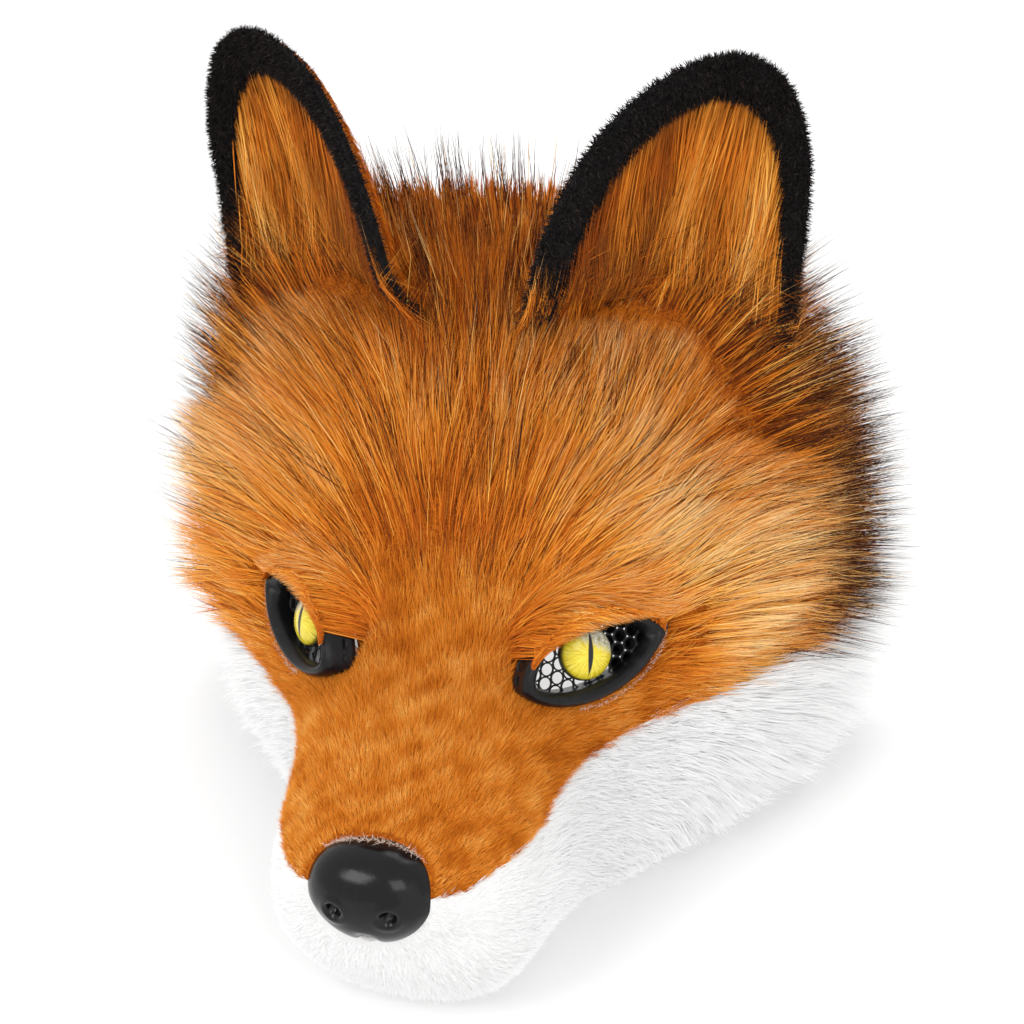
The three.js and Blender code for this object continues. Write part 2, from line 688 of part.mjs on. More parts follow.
function addPair(name, solid, finish) {
  addPiece(`${name}_right`, solid, finish);
  addPiece(`${name}_left`, mirrored(solid), finish);
}

addPiece("face_shell", faceShell(), foam);
addPiece("forehead_fur", foreheadFur(), orange);
addPiece("muzzle_plush", muzzlePlush(), orange);
addPiece("lip_plush", lipPlush(), white);
addPair("cheek_fur", cheekFur(), white);
addPair("ear_shell", earShell(), orange);
addPair("ear_trim", earTrim(), blackPlush);
addPair("ear_fur", earFur(), gold);
addPair("eyelid", eyelid(), blackMoulded);
addPair("eye_mesh", eyeMesh(), blackMoulded);
addPair("glass_eye", glassEye(), glass);
addPiece("nose", nose(), blackMoulded);

// The origin is on the floor under the middle of the mask
const extent = new THREE.Box3().setFromObject(mask);
mask.position.y = -(extent.min.y + extent.max.y) / 2;

export default mask;
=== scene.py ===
import math

import bpy
import numpy as np
from mathutils import Matrix, Vector
from mathutils.kdtree import KDTree


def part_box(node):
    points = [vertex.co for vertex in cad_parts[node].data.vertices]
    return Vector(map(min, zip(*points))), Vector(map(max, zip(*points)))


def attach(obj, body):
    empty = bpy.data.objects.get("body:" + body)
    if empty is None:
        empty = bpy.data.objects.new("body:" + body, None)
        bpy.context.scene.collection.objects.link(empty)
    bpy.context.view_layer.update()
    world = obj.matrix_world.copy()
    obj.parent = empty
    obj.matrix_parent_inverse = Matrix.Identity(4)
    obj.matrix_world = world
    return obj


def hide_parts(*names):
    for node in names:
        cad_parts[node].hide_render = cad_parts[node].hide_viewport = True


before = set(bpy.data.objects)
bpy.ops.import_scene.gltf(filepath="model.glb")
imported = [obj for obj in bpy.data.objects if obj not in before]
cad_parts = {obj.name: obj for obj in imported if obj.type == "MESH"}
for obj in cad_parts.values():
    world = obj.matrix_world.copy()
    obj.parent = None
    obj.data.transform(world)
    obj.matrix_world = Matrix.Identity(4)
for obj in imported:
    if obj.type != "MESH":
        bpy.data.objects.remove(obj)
bpy.ops.object.select_all(action="DESELECT")
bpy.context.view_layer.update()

# Shell and pelts
HEAD_WIDTH = 196
HEAD_HEIGHT = 211
HEAD_DEPTH = 123
MUZZLE_LENGTH = 77
MUZZLE_WIDTH = 82
MUZZLE_HEIGHT = 84
SHELL_WALL = 3
PLUSH_DEPTH = 6
FUR_OVERHANG = 7
HEM = 2

# Hair
SHORT_HAIR = 7
LONG_HAIR = 42
FOREHEAD_STRANDS = 30000
CHEEK_STRANDS = 14000
GUARD_HAIRS = 8500
MUZZLE_STRANDS = 82000
LIP_STRANDS = 54000
EAR_LINING_STRANDS = 4300
EAR_TUFT_STRANDS = 3000
EAR_BACK_STRANDS = 10000
BAND_STRANDS = 17000
BROW_STRANDS = 5600

# Ears
EAR_HEIGHT = 102
EAR_WIDTH = 98
EAR_THICKNESS = 4
EAR_CUP = 20
EAR_RISE = 34
EAR_ROOT = 20
TRIM_WIDTH = 14

# Eyes
EYE_WIDTH = 54
LID_RISE = 16
LID_DROP = 13.5
LOWER_LID_WIDTH = 5.5
UPPER_LID_WIDTH = 3.5
LID_PROUD = 4
LID_ROOT = 8
MESH_DEPTH = 3.5
MESH_PITCH = 4.8
MESH_HOLE = 4.1
MESH_THICKNESS = 0.9
# Cells beyond this distance across the eye have their holes capped in black as painted shade.
PAINTED_SHADE_CELLS_FROM = 5
GLASS_DIAMETER = 19.2
GLASS_HEIGHT = 5.5
GLASS_LIFT = 2.5

# Nose
NOSE_WIDTH = 46
NOSE_HEIGHT = 35
NOSE_DEPTH = 32
NOSTRIL_SPACING = 19

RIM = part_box("face_shell")[1].y * 1000


def to_metres(points):
    return (np.asarray(points, float) + (0, RIM - HEAD_DEPTH, 0)) / 1000


# Camera, at the photograph's viewing angle

camera = bpy.data.objects.new("camera", bpy.data.cameras.new("camera"))
bpy.context.scene.collection.objects.link(camera)
bpy.context.scene.camera = camera
camera.data.lens = 93.3
camera.data.sensor_width = 36
place = to_metres((288.6, -665.2, 640.4))
across, upward, ahead = (0.949, 0.303, -0.086), (-0.101, 0.552, 0.828), (-0.298, 0.777, -0.555)
camera.matrix_world = Matrix(
    [(across[i], upward[i], -ahead[i], place[i]) for i in range(3)] + [(0, 0, 0, 1)]
)


# Sections of the shell from the nose back, as shares of its sizes

COLUMNS = ("y", "half", "top", "waist", "sole", "boxy")
MUZZLE_SECTIONS = [
    (-1.035, 0.08, 0.66, 0.62, 0.58, 2.2),
    (-1.0, 0.42, 0.786, 0.6, 0.5, 2.3),
    (-0.95, 0.7, 0.827, 0.56, 0.36, 2.5),
    (-0.87, 0.86, 0.857, 0.52, 0.22, 2.6),
    (-0.75, 0.96, 0.881, 0.48, 0.06, 2.8),
    (-0.61, 1.01, 0.929, 0.48, -0.02, 3.0),
    (-0.42, 1.03, 0.99, 0.5, -0.1, 3.3),
    (-0.21, 1.08, 1.07, 0.55, -0.2, 3.6),
]
HEAD_SECTIONS = [
    (0.0, 0.55, 0.467, 0.256, -0.12, 3.7),
    (0.114, 0.69, 0.507, 0.284, -0.13, 3.2),
    (0.228, 0.8, 0.55, 0.313, -0.14, 2.8),
    (0.341, 0.88, 0.605, 0.341, -0.16, 2.6),
    (0.455, 0.935, 0.685, 0.37, -0.18, 2.5),
    (0.553, 0.965, 0.79, 0.4, -0.2, 2.4),
    (0.65, 0.985, 0.9, 0.417, -0.23, 2.4),
    (0.765, 1.0, 0.965, 0.425, -0.26, 2.4),
    (0.91, 1.0, 0.995, 0.425, -0.28, 2.4),
    (1.06, 0.99, 1.0, 0.425, -0.3, 2.4),
]
JAW_ROUNDING = 2.3


def table(rows, length, width, height):
    return np.array(rows) * (length, width / 2, height, height, height, 1)


SECTIONS = np.vstack(
    [
        table(MUZZLE_SECTIONS, MUZZLE_LENGTH, MUZZLE_WIDTH, MUZZLE_HEIGHT),
        table(HEAD_SECTIONS, HEAD_DEPTH, HEAD_WIDTH, HEAD_HEIGHT),
    ]
)
STOP_ROW = len(MUZZLE_SECTIONS)
LAST_ROW = len(SECTIONS) - 1


def spline(values, row):
    """A smooth curve through a list of values, at rows that need not be whole."""
    first = np.clip(np.floor(row).astype(int), 0, len(values) - 2)
    t = row - first
    if values.ndim > 1:
        t = t[..., None]
    a, b, c, d = (values[np.clip(first + step, 0, len(values) - 1)] for step in (-1, 0, 1, 2))
    return b + 0.5 * t * (c - a + t * (2 * a - 5 * b + 4 * c - d + t * (3 * (b - c) + d - a)))


def curve_through(points, count):
    points = np.asarray(points, float)
    return spline(points, np.linspace(0, len(points) - 1, count))


def section(column, row):
    return spline(SECTIONS[:, COLUMNS.index(column)], row)


def half_section(row, upper):
    """Waist of a section, with the reach and rounding of its upper or lower half."""
    waist = section("waist", row)
    reach = np.where(upper, section("top", row) - waist, waist - section("sole", row))
    return waist, reach, np.where(upper, section("boxy", row), JAW_ROUNDING)


def section_point(row, turn):
    """A point of the shell's outer surface; turn runs from +X over the top."""
    row = np.asarray(row, float)
    cos, sin = np.cos(turn), np.sin(turn)
    waist, reach, rounding = half_section(row, sin > 0)
    share = (np.abs(cos) ** rounding + np.abs(sin) ** rounding) ** (-1 / rounding)
    return np.stack([section("half", row) * share * cos, section("y", row), waist + reach * share * sin], -1)


def unit(vectors):
    return vectors / np.maximum(np.linalg.norm(vectors, axis=-1, keepdims=True), 1e-9)


def skin(row, turn):
    """Points of the shell's outer surface and the directions that point out of it."""
    behind, before = np.minimum(row + 0.04, LAST_ROW), np.maximum(row - 0.04, 0)
    back = section_point(behind, turn) - section_point(before, turn)
    round_ = section_point(row, turn + 0.02) - section_point(row, turn - 0.02)
    return section_point(row, turn), unit(np.cross(back, round_))


FINE_ROWS = np.linspace(0, LAST_ROW, 400)
FINE_Y = section("y", FINE_ROWS)


def row_at(y):
    return np.interp(y, FINE_Y, FINE_ROWS)


def over_skin(points):
    """About how far points lie outside the shell's outer surface."""
    row = row_at(points[..., 1])
    waist, reach, rounding = half_section(row, points[..., 2] > section("waist", row))
    x, z = np.abs(points[..., 0]), points[..., 2] - waist
    share = ((x / section("half", row)) ** rounding + (np.abs(z) / reach) ** rounding) ** (1 / rounding)
    return (1 - 1 / np.maximum(share, 1e-6)) * np.hypot(x, z)


def lifted_clear(points, distance, probe=0.5, rounds=4):
    """Points moved out until they lie at least a distance off the shell."""
    for _ in range(rounds):
        near = over_skin(points)
        slope = np.stack([over_skin(points + probe * axis) - near for axis in np.eye(3)], -1)
        points = points + unit(slope) * np.maximum(distance - near, 0)[..., None]
    return points


def noise(points, size, seed, waves=14):
    """A smooth field from about -1 to 1 with features of a given size."""
    rng = np.random.default_rng(seed)
    directions = rng.normal(size=(waves, 3)) * (2.2 / size)
    phases = rng.uniform(0, 2 * math.pi, waves)
    return np.sin(points @ directions.T + phases).sum(-1) / 4


def wobble(points, sizes, first_seed):
    """Smooth fields for the three axes."""
    return np.stack([noise(points, size, first_seed + i) for i, size in enumerate(sizes)], -1)


def smooth_step(value, low, high):
    t = np.clip((value - low) / (high - low), 0, 1)
    return t * t * (3 - 2 * t)


def hump(value, middle, width):
    return np.exp(-(((value - middle) / width) ** 2))


# Regions of the pelt, seen from the side: the seam between orange and white, from the nose to the rim

SEAM = np.array(
    [
        (-1.6 * MUZZLE_LENGTH, 0.32),
        (-0.9 * MUZZLE_LENGTH, 0.297),
        (-0.45 * MUZZLE_LENGTH, 0.293),
        (-0.1 * MUZZLE_LENGTH, 0.325),
        (0.12 * HEAD_DEPTH, 0.352),
        (0.35 * HEAD_DEPTH, 0.338),
        (0.6 * HEAD_DEPTH, 0.318),
        (2.4 * HEAD_DEPTH, 0.3),
    ]
) * (1, HEAD_HEIGHT)
BROW_HEIGHT = 0.5 * HEAD_HEIGHT
BROW_FRONT = -0.065 * MUZZLE_LENGTH
TEMPLE_BACK = 0.4 * HEAD_DEPTH
CHEEK_FRONT = 0.07 * HEAD_DEPTH
CROWN_FOOT = 0.9 * HEAD_HEIGHT


def above_seam(points):
    return points[..., 2] - np.interp(points[..., 1], SEAM[:, 0], SEAM[:, 1])


def in_long_fur(points):
    brow = (points[..., 1] > BROW_FRONT) & (points[..., 2] > BROW_HEIGHT)
    return brow | (points[..., 1] > TEMPLE_BACK)


def forehead(points):
    return (above_seam(points) > 0) & in_long_fur(points)


def muzzle(points):
    return (above_seam(points) > 0) & ~in_long_fur(points)


def cheek(points):
    return (above_seam(points) < 0) & (points[..., 1] > CHEEK_FRONT)


def lip(points):
    return (above_seam(points) < 0) & (points[..., 1] < CHEEK_FRONT)


# How densely each kind of hair stands. Neighbouring kinds overlap.


def forehead_share(points):
    return (above_seam(points) > 0) * smooth_step(points[..., 1], BROW_FRONT - 14, BROW_FRONT + 2)


def muzzle_share(points):
    return (above_seam(points) > 0) * (1 - smooth_step(points[..., 1], BROW_FRONT, BROW_FRONT + 40))


def cheek_share(points):
    return (above_seam(points) < 0) * smooth_step(points[..., 1], CHEEK_FRONT - 20, CHEEK_FRONT + 6)


def lip_share(points):
    return (above_seam(points) < 0) * (1 - smooth_step(points[..., 1], CHEEK_FRONT - 4, CHEEK_FRONT + 26))


def guard_share(points):
    behind = smooth_step(points[..., 1], 0.45 * HEAD_DEPTH, 0.85 * HEAD_DEPTH)
    crown = smooth_step(points[..., 2], 0.86 * HEAD_HEIGHT, HEAD_HEIGHT)
    return forehead(points) * (0.05 + behind) * (1 - 0.8 * crown)


def on_side(share, sign):
    return lambda points: share(points) * (np.sign(points[..., 0]) == sign)


# Eyes: local across, up and out directions of the right eye, on points folded to +X


def turned(axis, angle):
    return np.array(Matrix.Rotation(math.radians(angle), 3, axis))


def seat(row, angle, step=0.06):
    """A place on the upper half of the shell and the way out of it, by powers of cosine and sine."""

    def at(row, turn):
        row = np.array(float(row))
        power = 2 / section("boxy", row)
        waist = section("waist", row)
        x = section("half", row) * math.cos(turn) ** power
        z = waist + (section("top", row) - waist) * math.sin(turn) ** power
        return np.array([x, section("y", row), z], float)

    turn = math.radians(angle)
    back = at(row + step, turn) - at(row - step, turn)
    return at(row, turn), unit(np.cross(back, at(row, turn + step) - at(row, turn - step)))


EYE_AXES = turned("Z", 45) @ turned("X", 90 - 26) @ turned("Z", 4)
eye_seat, eye_normal = seat(STOP_ROW + 0.86, 49)
EYE_CENTRE = eye_seat + 3.5 * eye_normal
EYE_ROUNDING = 0.65
EYE_REACH = 25


def folded(points):
    return points * np.where(points[..., :1] < 0, (-1, 1, 1), (1, 1, 1))


def eye_place(across, upward, out):
    """Points from their places across, up and out of the eye."""
    local = np.stack(np.broadcast_arrays(across, upward, out), -1)
    return EYE_CENTRE + local @ EYE_AXES.T


def eye_local(points):
    return (folded(points) - EYE_CENTRE) @ EYE_AXES


def almond(angle, share, inset=0.0):
    """The lid's outline, drawn in by a share of the lid's width; upper and lower halves differ."""
    rise = np.sin(angle)
    height = np.where(rise > 0, LID_RISE - share * UPPER_LID_WIDTH, LID_DROP - share * LOWER_LID_WIDTH)
    width = EYE_WIDTH / 2 - share * LOWER_LID_WIDTH - inset
    return width * np.cos(angle), (height - inset) * rise * np.abs(rise) ** 0.3


def in_eye(points, clearance):
    local = eye_local(points)
    cos = np.clip(np.abs(local[..., 0]) / (EYE_WIDTH / 2 + clearance), 0, 1)
    height = np.where(local[..., 1] > 0, LID_RISE, LID_DROP) + clearance
    limit = height * (1 - cos**2) ** EYE_ROUNDING
    return (cos < 1) & (np.abs(local[..., 1]) < limit) & (np.abs(local[..., 2]) < EYE_REACH)


def off_eye(points, far=99):
    """About how far points lie outside the outline of the lid."""
    local = eye_local(points)
    height = np.where(local[..., 1] > 0, LID_RISE, LID_DROP)
    share = np.hypot(local[..., 0] / (EYE_WIDTH / 2), local[..., 1] / height)
    return np.where(np.abs(local[..., 2]) < EYE_REACH, (share - 1) * (height + EYE_WIDTH / 2) / 2, far)


# Nose

NOSE_CENTRE = np.array((0, -0.935 * MUZZLE_LENGTH, 0.72 * MUZZLE_HEIGHT))


def in_nose(points, clearance):
    size = np.array((NOSE_WIDTH, NOSE_DEPTH, NOSE_HEIGHT)) / 2 + clearance
    return (np.abs((points - NOSE_CENTRE) / size) ** 2.2).sum(-1) < 1


# Ears: a height field over the plane of the right ear's rim

EAR_ACROSS = unit(np.array((0.857, 0.406, -0.316)))
EAR_UP = unit(np.array((0.201, 0.301, 0.933)))
EAR_OUT = unit(np.cross(EAR_ACROSS, EAR_UP))
EAR_BASE = seat(STOP_ROW + 4.86, 56)[0] + EAR_RISE * EAR_UP
EAR_CENTRE = np.array((0, 0.3 * EAR_HEIGHT))
EAR_RIM = [
    (-EAR_ROOT / EAR_HEIGHT, 0.92, 0.9),
    (0, 0.97, 0.92),
    (0.22, 1.02, 0.86),
    (0.46, 0.95, 0.785),
    (0.68, 0.77, 0.69),
    (0.85, 0.5, 0.53),
    (0.96, 0.2, 0.33),
]
EAR_TIP = 0.07


def ear_dip(p, q):
    cup = EAR_CUP * (1 - (p / (EAR_WIDTH / 2)) ** 2 - (q / EAR_HEIGHT) ** 2)
    return cup + (2.3 * np.maximum(0, 0.2 * EAR_HEIGHT - q) ** 2) / EAR_WIDTH


def ear_place(p, q, out):
    p, q, out = (v[..., None] for v in np.broadcast_arrays(*(np.asarray(v, float) for v in (p, q, out))))
    return EAR_BASE + p * EAR_ACROSS + q * EAR_UP + (out - ear_dip(p, q)) * EAR_OUT


def ear_local(points):
    away = folded(points) - EAR_BASE
    p, q = away @ EAR_ACROSS, away @ EAR_UP
    return p, q, away @ EAR_OUT + ear_dip(p, q)


def ear_arch(inset, count=84):
    """The rim from the inner foot over the tip to the outer foot, drawn in by an inset."""
    half, height = EAR_WIDTH / 2, EAR_HEIGHT - inset
    inner = [(-share * (half - inset), up * height) for up, share, _ in EAR_RIM]
    outer = [(share * (half - 0.55 * inset), up * height) for up, _, share in EAR_RIM]
    return curve_through([*inner, (EAR_TIP * half, height), *reversed(outer)], count)


def in_ear_outline(p, q, inset):
    """Whether places lie within the arch, by its distance from the ear's centre in their direction."""
    rim = ear_arch(inset) - EAR_CENTRE
    angle = np.unwrap(np.arctan2(rim[:, 0], rim[:, 1]))
    order = np.argsort(angle)
    away = np.stack([p, q], -1) - EAR_CENTRE
    reach = np.interp(np.arctan2(away[..., 0], away[..., 1]), angle[order], np.hypot(*rim[order].T))
    return np.hypot(away[..., 0], away[..., 1]) < reach


# Shader graphs


class Value:
    """A shader socket that takes part in plain arithmetic."""

    def __init__(self, finish, socket):
        self.finish = finish
        self.socket = socket

    def math(self, operation, other=None, swapped=False):
        values = (other, self) if swapped else (self, other)
        inputs = {n: value for n, value in enumerate(values) if value is not None}
        return self.finish.node("Math", {"operation": operation}, inputs)

    def __add__(self, other):
        return self.math("ADD", other)

    def __sub__(self, other):
        return self.math("SUBTRACT", other)

    def __rsub__(self, other):
        return self.math("SUBTRACT", other, swapped=True)

    def __mul__(self, other):
        return self.math("MULTIPLY", other)

    __radd__ = __add__
    __rmul__ = __mul__


class Finish:
    """A material built from nodes."""

    def __init__(self, name, **constants):
        self.material = bpy.data.materials.new(name)
        self.material.use_nodes = True
        self.tree = self.material.node_tree
        self.shader = self.tree.nodes["Principled BSDF"]
        for socket, value in constants.items():
            self.shader.inputs[socket.replace("_", " ")].default_value = value

    def node(self, kind, settings=None, inputs=None, output=0):
        """A node's output, its settings made before its sockets are filled."""
        made = self.tree.nodes.new("ShaderNode" + kind)
        for key, value in (settings or {}).items():
            if key == "stops":
                ramp = made.color_ramp
                while len(ramp.elements) < len(value):
                    ramp.elements.new(1)
                for element, (position, colour) in zip(ramp.elements, value):
                    element.position = position
                    element.color = (*colour, 1)
            else:
                setattr(made, key, value)
        for key, value in (inputs or {}).items():
            if isinstance(value, Value):
                self.tree.links.new(value.socket, made.inputs[key])
            else:
                made.inputs[key].default_value = value
        return Value(self, made.outputs[output])

    def feed(self, **values):
        for socket, value in values.items():
            self.tree.links.new(value.socket, self.shader.inputs[socket.replace("_", " ")])
        return self.material

    def ramp(self, value, stops):
        return self.node("ValToRGB", {"stops": stops}, {0: value})

    def blend(self, share, first, second):
        first, second = (c if isinstance(c, Value) else (*c, 1) for c in (first, second))
        return self.node("Mix", {"data_type": "RGBA"}, {0: share, 6: first, 7: second}, output=2)

    def step(self, value, low, high):
        inputs = {0: value, 1: low, 2: high}
        return self.node("MapRange", {"interpolation_type": "SMOOTHSTEP"}, inputs)

    def noise(self, place, scale, detail, roughness=0.55):
        inputs = {"Vector": place, "Scale": scale, "Detail": detail, "Roughness": roughness}
        return self.node("TexNoise", None, inputs)

    def grain(self, size, detail=3.0, roughness=0.55):
        return self.noise(self.node("TexCoord", output=3), 1000 / size, detail, roughness)

    def bump(self, height, depth):
        return self.node("Bump", None, {"Height": height, "Distance": depth / 1000, "Strength": 1.0})

    def own_axes(self):
        """The piece's own UV map: tint and place along a strand, or across and up an eye."""
        uv = self.node("UVMap", {"uv_map": "OFBake"})
        first = self.node("SeparateXYZ", None, {0: uv})
        return first, Value(self, first.socket.node.outputs[1])


def fur_finish(name, tints, roots, tips, tip_start, roughness=0.7):
    """Fur whose tint is picked by u, shaded towards the roots and coloured at the tips along v."""
    finish = Finish(name, Roughness=roughness, Specular_IOR_Level=0.12)
    tint, along = finish.own_axes()
    body, root, tip = (finish.ramp(tint, stops) for stops in (tints, roots, tips))
    colour = finish.blend(finish.step(along, 0.0, 0.55), root, body)
    colour = finish.blend(finish.step(along, tip_start, 1.0), colour, tip)
    return finish.feed(Base_Color=colour)


ORANGE_FUR = fur_finish(
    "long orange fur",
    tints=[
        (0.0, (0.016, 0.008, 0.005)),
        (0.14, (0.09, 0.022, 0.004)),
        (0.30, (0.42, 0.068, 0.004)),
        (0.5, (0.68, 0.17, 0.010)),
        (0.7, (0.86, 0.33, 0.030)),
        (0.88, (0.95, 0.53, 0.11)),
        (1.0, (0.97, 0.74, 0.36)),
    ],
    roots=[
        (0.0, (0.11, 0.028, 0.004)),
        (0.3, (0.30, 0.05, 0.003)),
        (0.7, (0.60, 0.15, 0.008)),
        (1.0, (0.78, 0.32, 0.05)),
    ],
    tips=[
        (0.0, (0.008, 0.006, 0.006)),
        (0.2, (0.016, 0.009, 0.007)),
        (0.32, (0.30, 0.06, 0.006)),
        (0.6, (0.80, 0.26, 0.02)),
        (1.0, (0.97, 0.78, 0.42)),
    ],
    tip_start=0.5,
)
ORANGE_PLUSH = fur_finish(
    "short orange plush",
    tints=[
        (0.0, (0.36, 0.07, 0.003)),
        (0.35, (0.62, 0.16, 0.008)),
        (0.65, (0.80, 0.27, 0.02)),
        (1.0, (0.93, 0.47, 0.08)),
    ],
    roots=[(0.0, (0.30, 0.055, 0.003)), (1.0, (0.60, 0.17, 0.012))],
    tips=[(0.0, (0.42, 0.09, 0.004)), (0.5, (0.80, 0.27, 0.02)), (1.0, (0.96, 0.6, 0.17))],
    tip_start=0.4,
    roughness=0.8,
)
WHITE_FUR = fur_finish(
    "white fur",
    tints=[(0.0, (0.84, 0.84, 0.84)), (0.3, (0.92, 0.92, 0.92)), (1.0, (0.95, 0.95, 0.95))],
    roots=[(0.0, (0.86, 0.86, 0.85)), (1.0, (0.93, 0.93, 0.93))],
    tips=[(0.0, (0.9, 0.9, 0.89)), (1.0, (0.95, 0.95, 0.95))],
    tip_start=0.5,
    roughness=0.8,
)
BLACK_PLUSH = fur_finish(
    "black plush",
    tints=[(0.0, (0.008, 0.007, 0.007)), (0.7, (0.020, 0.016, 0.015)), (1.0, (0.06, 0.042, 0.034))],
    roots=[(0.0, (0.005, 0.005, 0.005)), (1.0, (0.012, 0.010, 0.010))],
    tips=[(0.0, (0.012, 0.010, 0.010)), (0.8, (0.034, 0.026, 0.023)), (1.0, (0.10, 0.07, 0.055))],
    tip_start=0.45,
    roughness=0.85,
)
EAR_FUR = fur_finish(
    "gold ear fur",
    tints=[
        (0.0, (0.03, 0.010, 0.004)),
        (0.2, (0.36, 0.07, 0.004)),
        (0.45, (0.70, 0.19, 0.012)),
        (0.75, (0.90, 0.42, 0.06)),
        (1.0, (0.95, 0.62, 0.18)),
    ],
    roots=[(0.0, (0.12, 0.025, 0.003)), (1.0, (0.66, 0.22, 0.02))],
    tips=[
        (0.0, (0.008, 0.006, 0.005)),
        (0.15, (0.04, 0.015, 0.007)),
        (0.5, (0.76, 0.26, 0.02)),
        (1.0, (0.96, 0.7, 0.26)),
    ],
    tip_start=0.45,
)


def pelt_finish(name, dark, light, depth):
    """The dense pile close to a pelt's backing."""
    finish = Finish(name, Roughness=0.95, Specular_IOR_Level=0.1)
    fine = finish.grain(0.9, 4)
    coarse = finish.grain(9, 2)
    share = finish.step(0.65 * fine + 0.35 * coarse, 0.38, 0.62)
    return finish.feed(Base_Color=finish.blend(share, dark, light), Normal=finish.bump(fine, depth))


# The orange pile is its own orange darkened further: painted shade of the deep fur between the strands.
ORANGE_PELT_WITH_PAINTED_SHADE = pelt_finish("orange pile at the backing with painted shade", (0.26, 0.05, 0.003), (0.5, 0.13, 0.008), 0.8)
WHITE_PELT = pelt_finish("white pile at the backing", (0.87, 0.86, 0.85), (0.93, 0.93, 0.92), 0.8)
BLACK_PELT = pelt_finish("black pile at the backing", (0.006, 0.006, 0.006), (0.02, 0.018, 0.018), 0.6)


def foam_finish(dark=(0.44, 0.43, 0.41), light=(0.6, 0.59, 0.57)):
    finish = Finish("shell foam", Roughness=0.9, Specular_IOR_Level=0.2)
    cells = finish.grain(1.6, 5, 0.7)
    marks = finish.grain(22, 3)
    colour = finish.blend(finish.step(0.5 * cells + 0.5 * marks, 0.35, 0.65), dark, light)
    return finish.feed(Base_Color=colour, Normal=finish.bump(cells, 0.35))


def moulded_finish(name, base, scuff, roughness, gloss=0.22):
    finish = Finish(name, Specular_IOR_Level=gloss)
    orange_peel = finish.grain(1.1, 2)
    wear = finish.grain(7, 5, 0.65)
    worn = finish.step(wear, 0.5, 0.75)
    return finish.feed(
        Base_Color=finish.blend(worn, base, scuff),
        Roughness=roughness + 0.12 * worn + 0.06 * orange_peel,
        Normal=finish.bump(orange_peel, 0.03),
    )


def thread_finish():
    finish = Finish("backing thread", Roughness=0.9)
    return finish.feed(Base_Color=finish.blend(finish.grain(1.5, 2), (0.72, 0.5, 0.4), (0.93, 0.86, 0.8)))


FOAM = foam_finish()
LID_BLACK = moulded_finish("satin black lid", (0.006, 0.006, 0.007), (0.013, 0.013, 0.014), 0.3)
NOSE_BLACK = moulded_finish("satin black nose", (0.003, 0.003, 0.004), (0.007, 0.007, 0.008), 0.14, 0.27)
MESH_BLACK = moulded_finish("black sheet", (0.02, 0.02, 0.021), (0.05, 0.05, 0.052), 0.5)
THREAD = thread_finish()

IRIS_STOPS = [
    (0.3, (0.42, 0.26, 0.01)),
    (0.45, (0.78, 0.58, 0.02)),
    (0.6, (0.9, 0.78, 0.08)),
    (0.75, (0.95, 0.9, 0.35)),
]
PAINTED_REFLECTION_STOPS = [(0.38, (0.10, 0.10, 0.09)), (0.5, (0.42, 0.42, 0.38)), (0.62, (0.78, 0.78, 0.72))]


def eye_finish():
    """A painted iris under a clear dome: slit pupil, radial streaks, a pale speckled painted reflection above
    and a dark edge.
    """
    finish = Finish("painted eye", Roughness=0.4, Specular_IOR_Level=0.15)
    for socket, value in (("Coat Weight", 1.0), ("Coat Roughness", 0.03), ("Coat IOR", 1.34)):
        finish.shader.inputs[socket].default_value = value
    across, upward = finish.own_axes()
    x, y = 2 * across - 1, 2 * upward - 1
    radius = (x * x + y * y).math("SQRT")
    angle = y.math("ARCTAN2", x)
    ray_place = finish.node("CombineXYZ", None, {0: angle * 6, 1: radius * 0.7, 2: 0.0})
    rays = finish.noise(ray_place, 2.2, 5.0, 0.65)
    reflection_place = finish.node("CombineXYZ", None, {0: x, 1: y, 2: 0.0})
    reflection_specks = finish.noise(reflection_place, 7.0, 6.0, 0.75)
    # Pale specks over the upper part of the iris: a painted reflection of the light on the dome.
    upper = finish.step(0.85 * y + 0.35 * x + 0.9 * reflection_specks, 0.62, 0.95)
    colour = finish.blend(upper * 0.85, finish.ramp(rays, IRIS_STOPS), finish.ramp(reflection_specks, PAINTED_REFLECTION_STOPS))
    slit = finish.step((x.math("ABSOLUTE") + 0.16 * y * y) + 0.02 * rays, 0.085, 0.125)
    colour = finish.blend(slit, (0.004, 0.004, 0.004), colour)
    edge = finish.step(radius + 0.06 * rays, 0.9, 0.99)
    return finish.feed(Base_Color=finish.blend(edge, colour, (0.03, 0.028, 0.02)))


EYE_PAINT = eye_finish()


# Meshes


def mirrored(points):
    return points * (-1, 1, 1)


def add_piece(name, points, groups, finish, slot, replaces=(), uv=None, sign=1):
    """A mesh in the part's frame, mirrored for sign -1. groups holds arrays of corner numbers."""
    if sign < 0:
        points = mirrored(points)
        groups = [group[:, ::-1] for group in groups]
    mesh = bpy.data.meshes.new(name)
    corners = np.concatenate([group.ravel() for group in groups]).astype(np.int32)
    sizes = np.concatenate([np.full(len(group), group.shape[1]) for group in groups])
    mesh.vertices.add(len(points))
    mesh.vertices.foreach_set("co", to_metres(points).astype(np.float32).ravel())
    mesh.loops.add(len(corners))
    mesh.loops.foreach_set("vertex_index", corners)
    mesh.polygons.add(len(sizes))
    mesh.polygons.foreach_set("loop_start", (np.cumsum(sizes) - sizes).astype(np.int32))
    mesh.update(calc_edges=True)
    mesh.validate()
    if uv is not None:
        layer = mesh.uv_layers.new(name="OFBake")
        layer.data.foreach_set("uv", uv[corners].astype(np.float32).ravel())
    mesh.shade_smooth()
    mesh.materials.append(finish)
    piece = bpy.data.objects.new(name, mesh)
    bpy.context.scene.collection.objects.link(piece)
    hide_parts(*replaces)
    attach(piece, "root")
    return piece


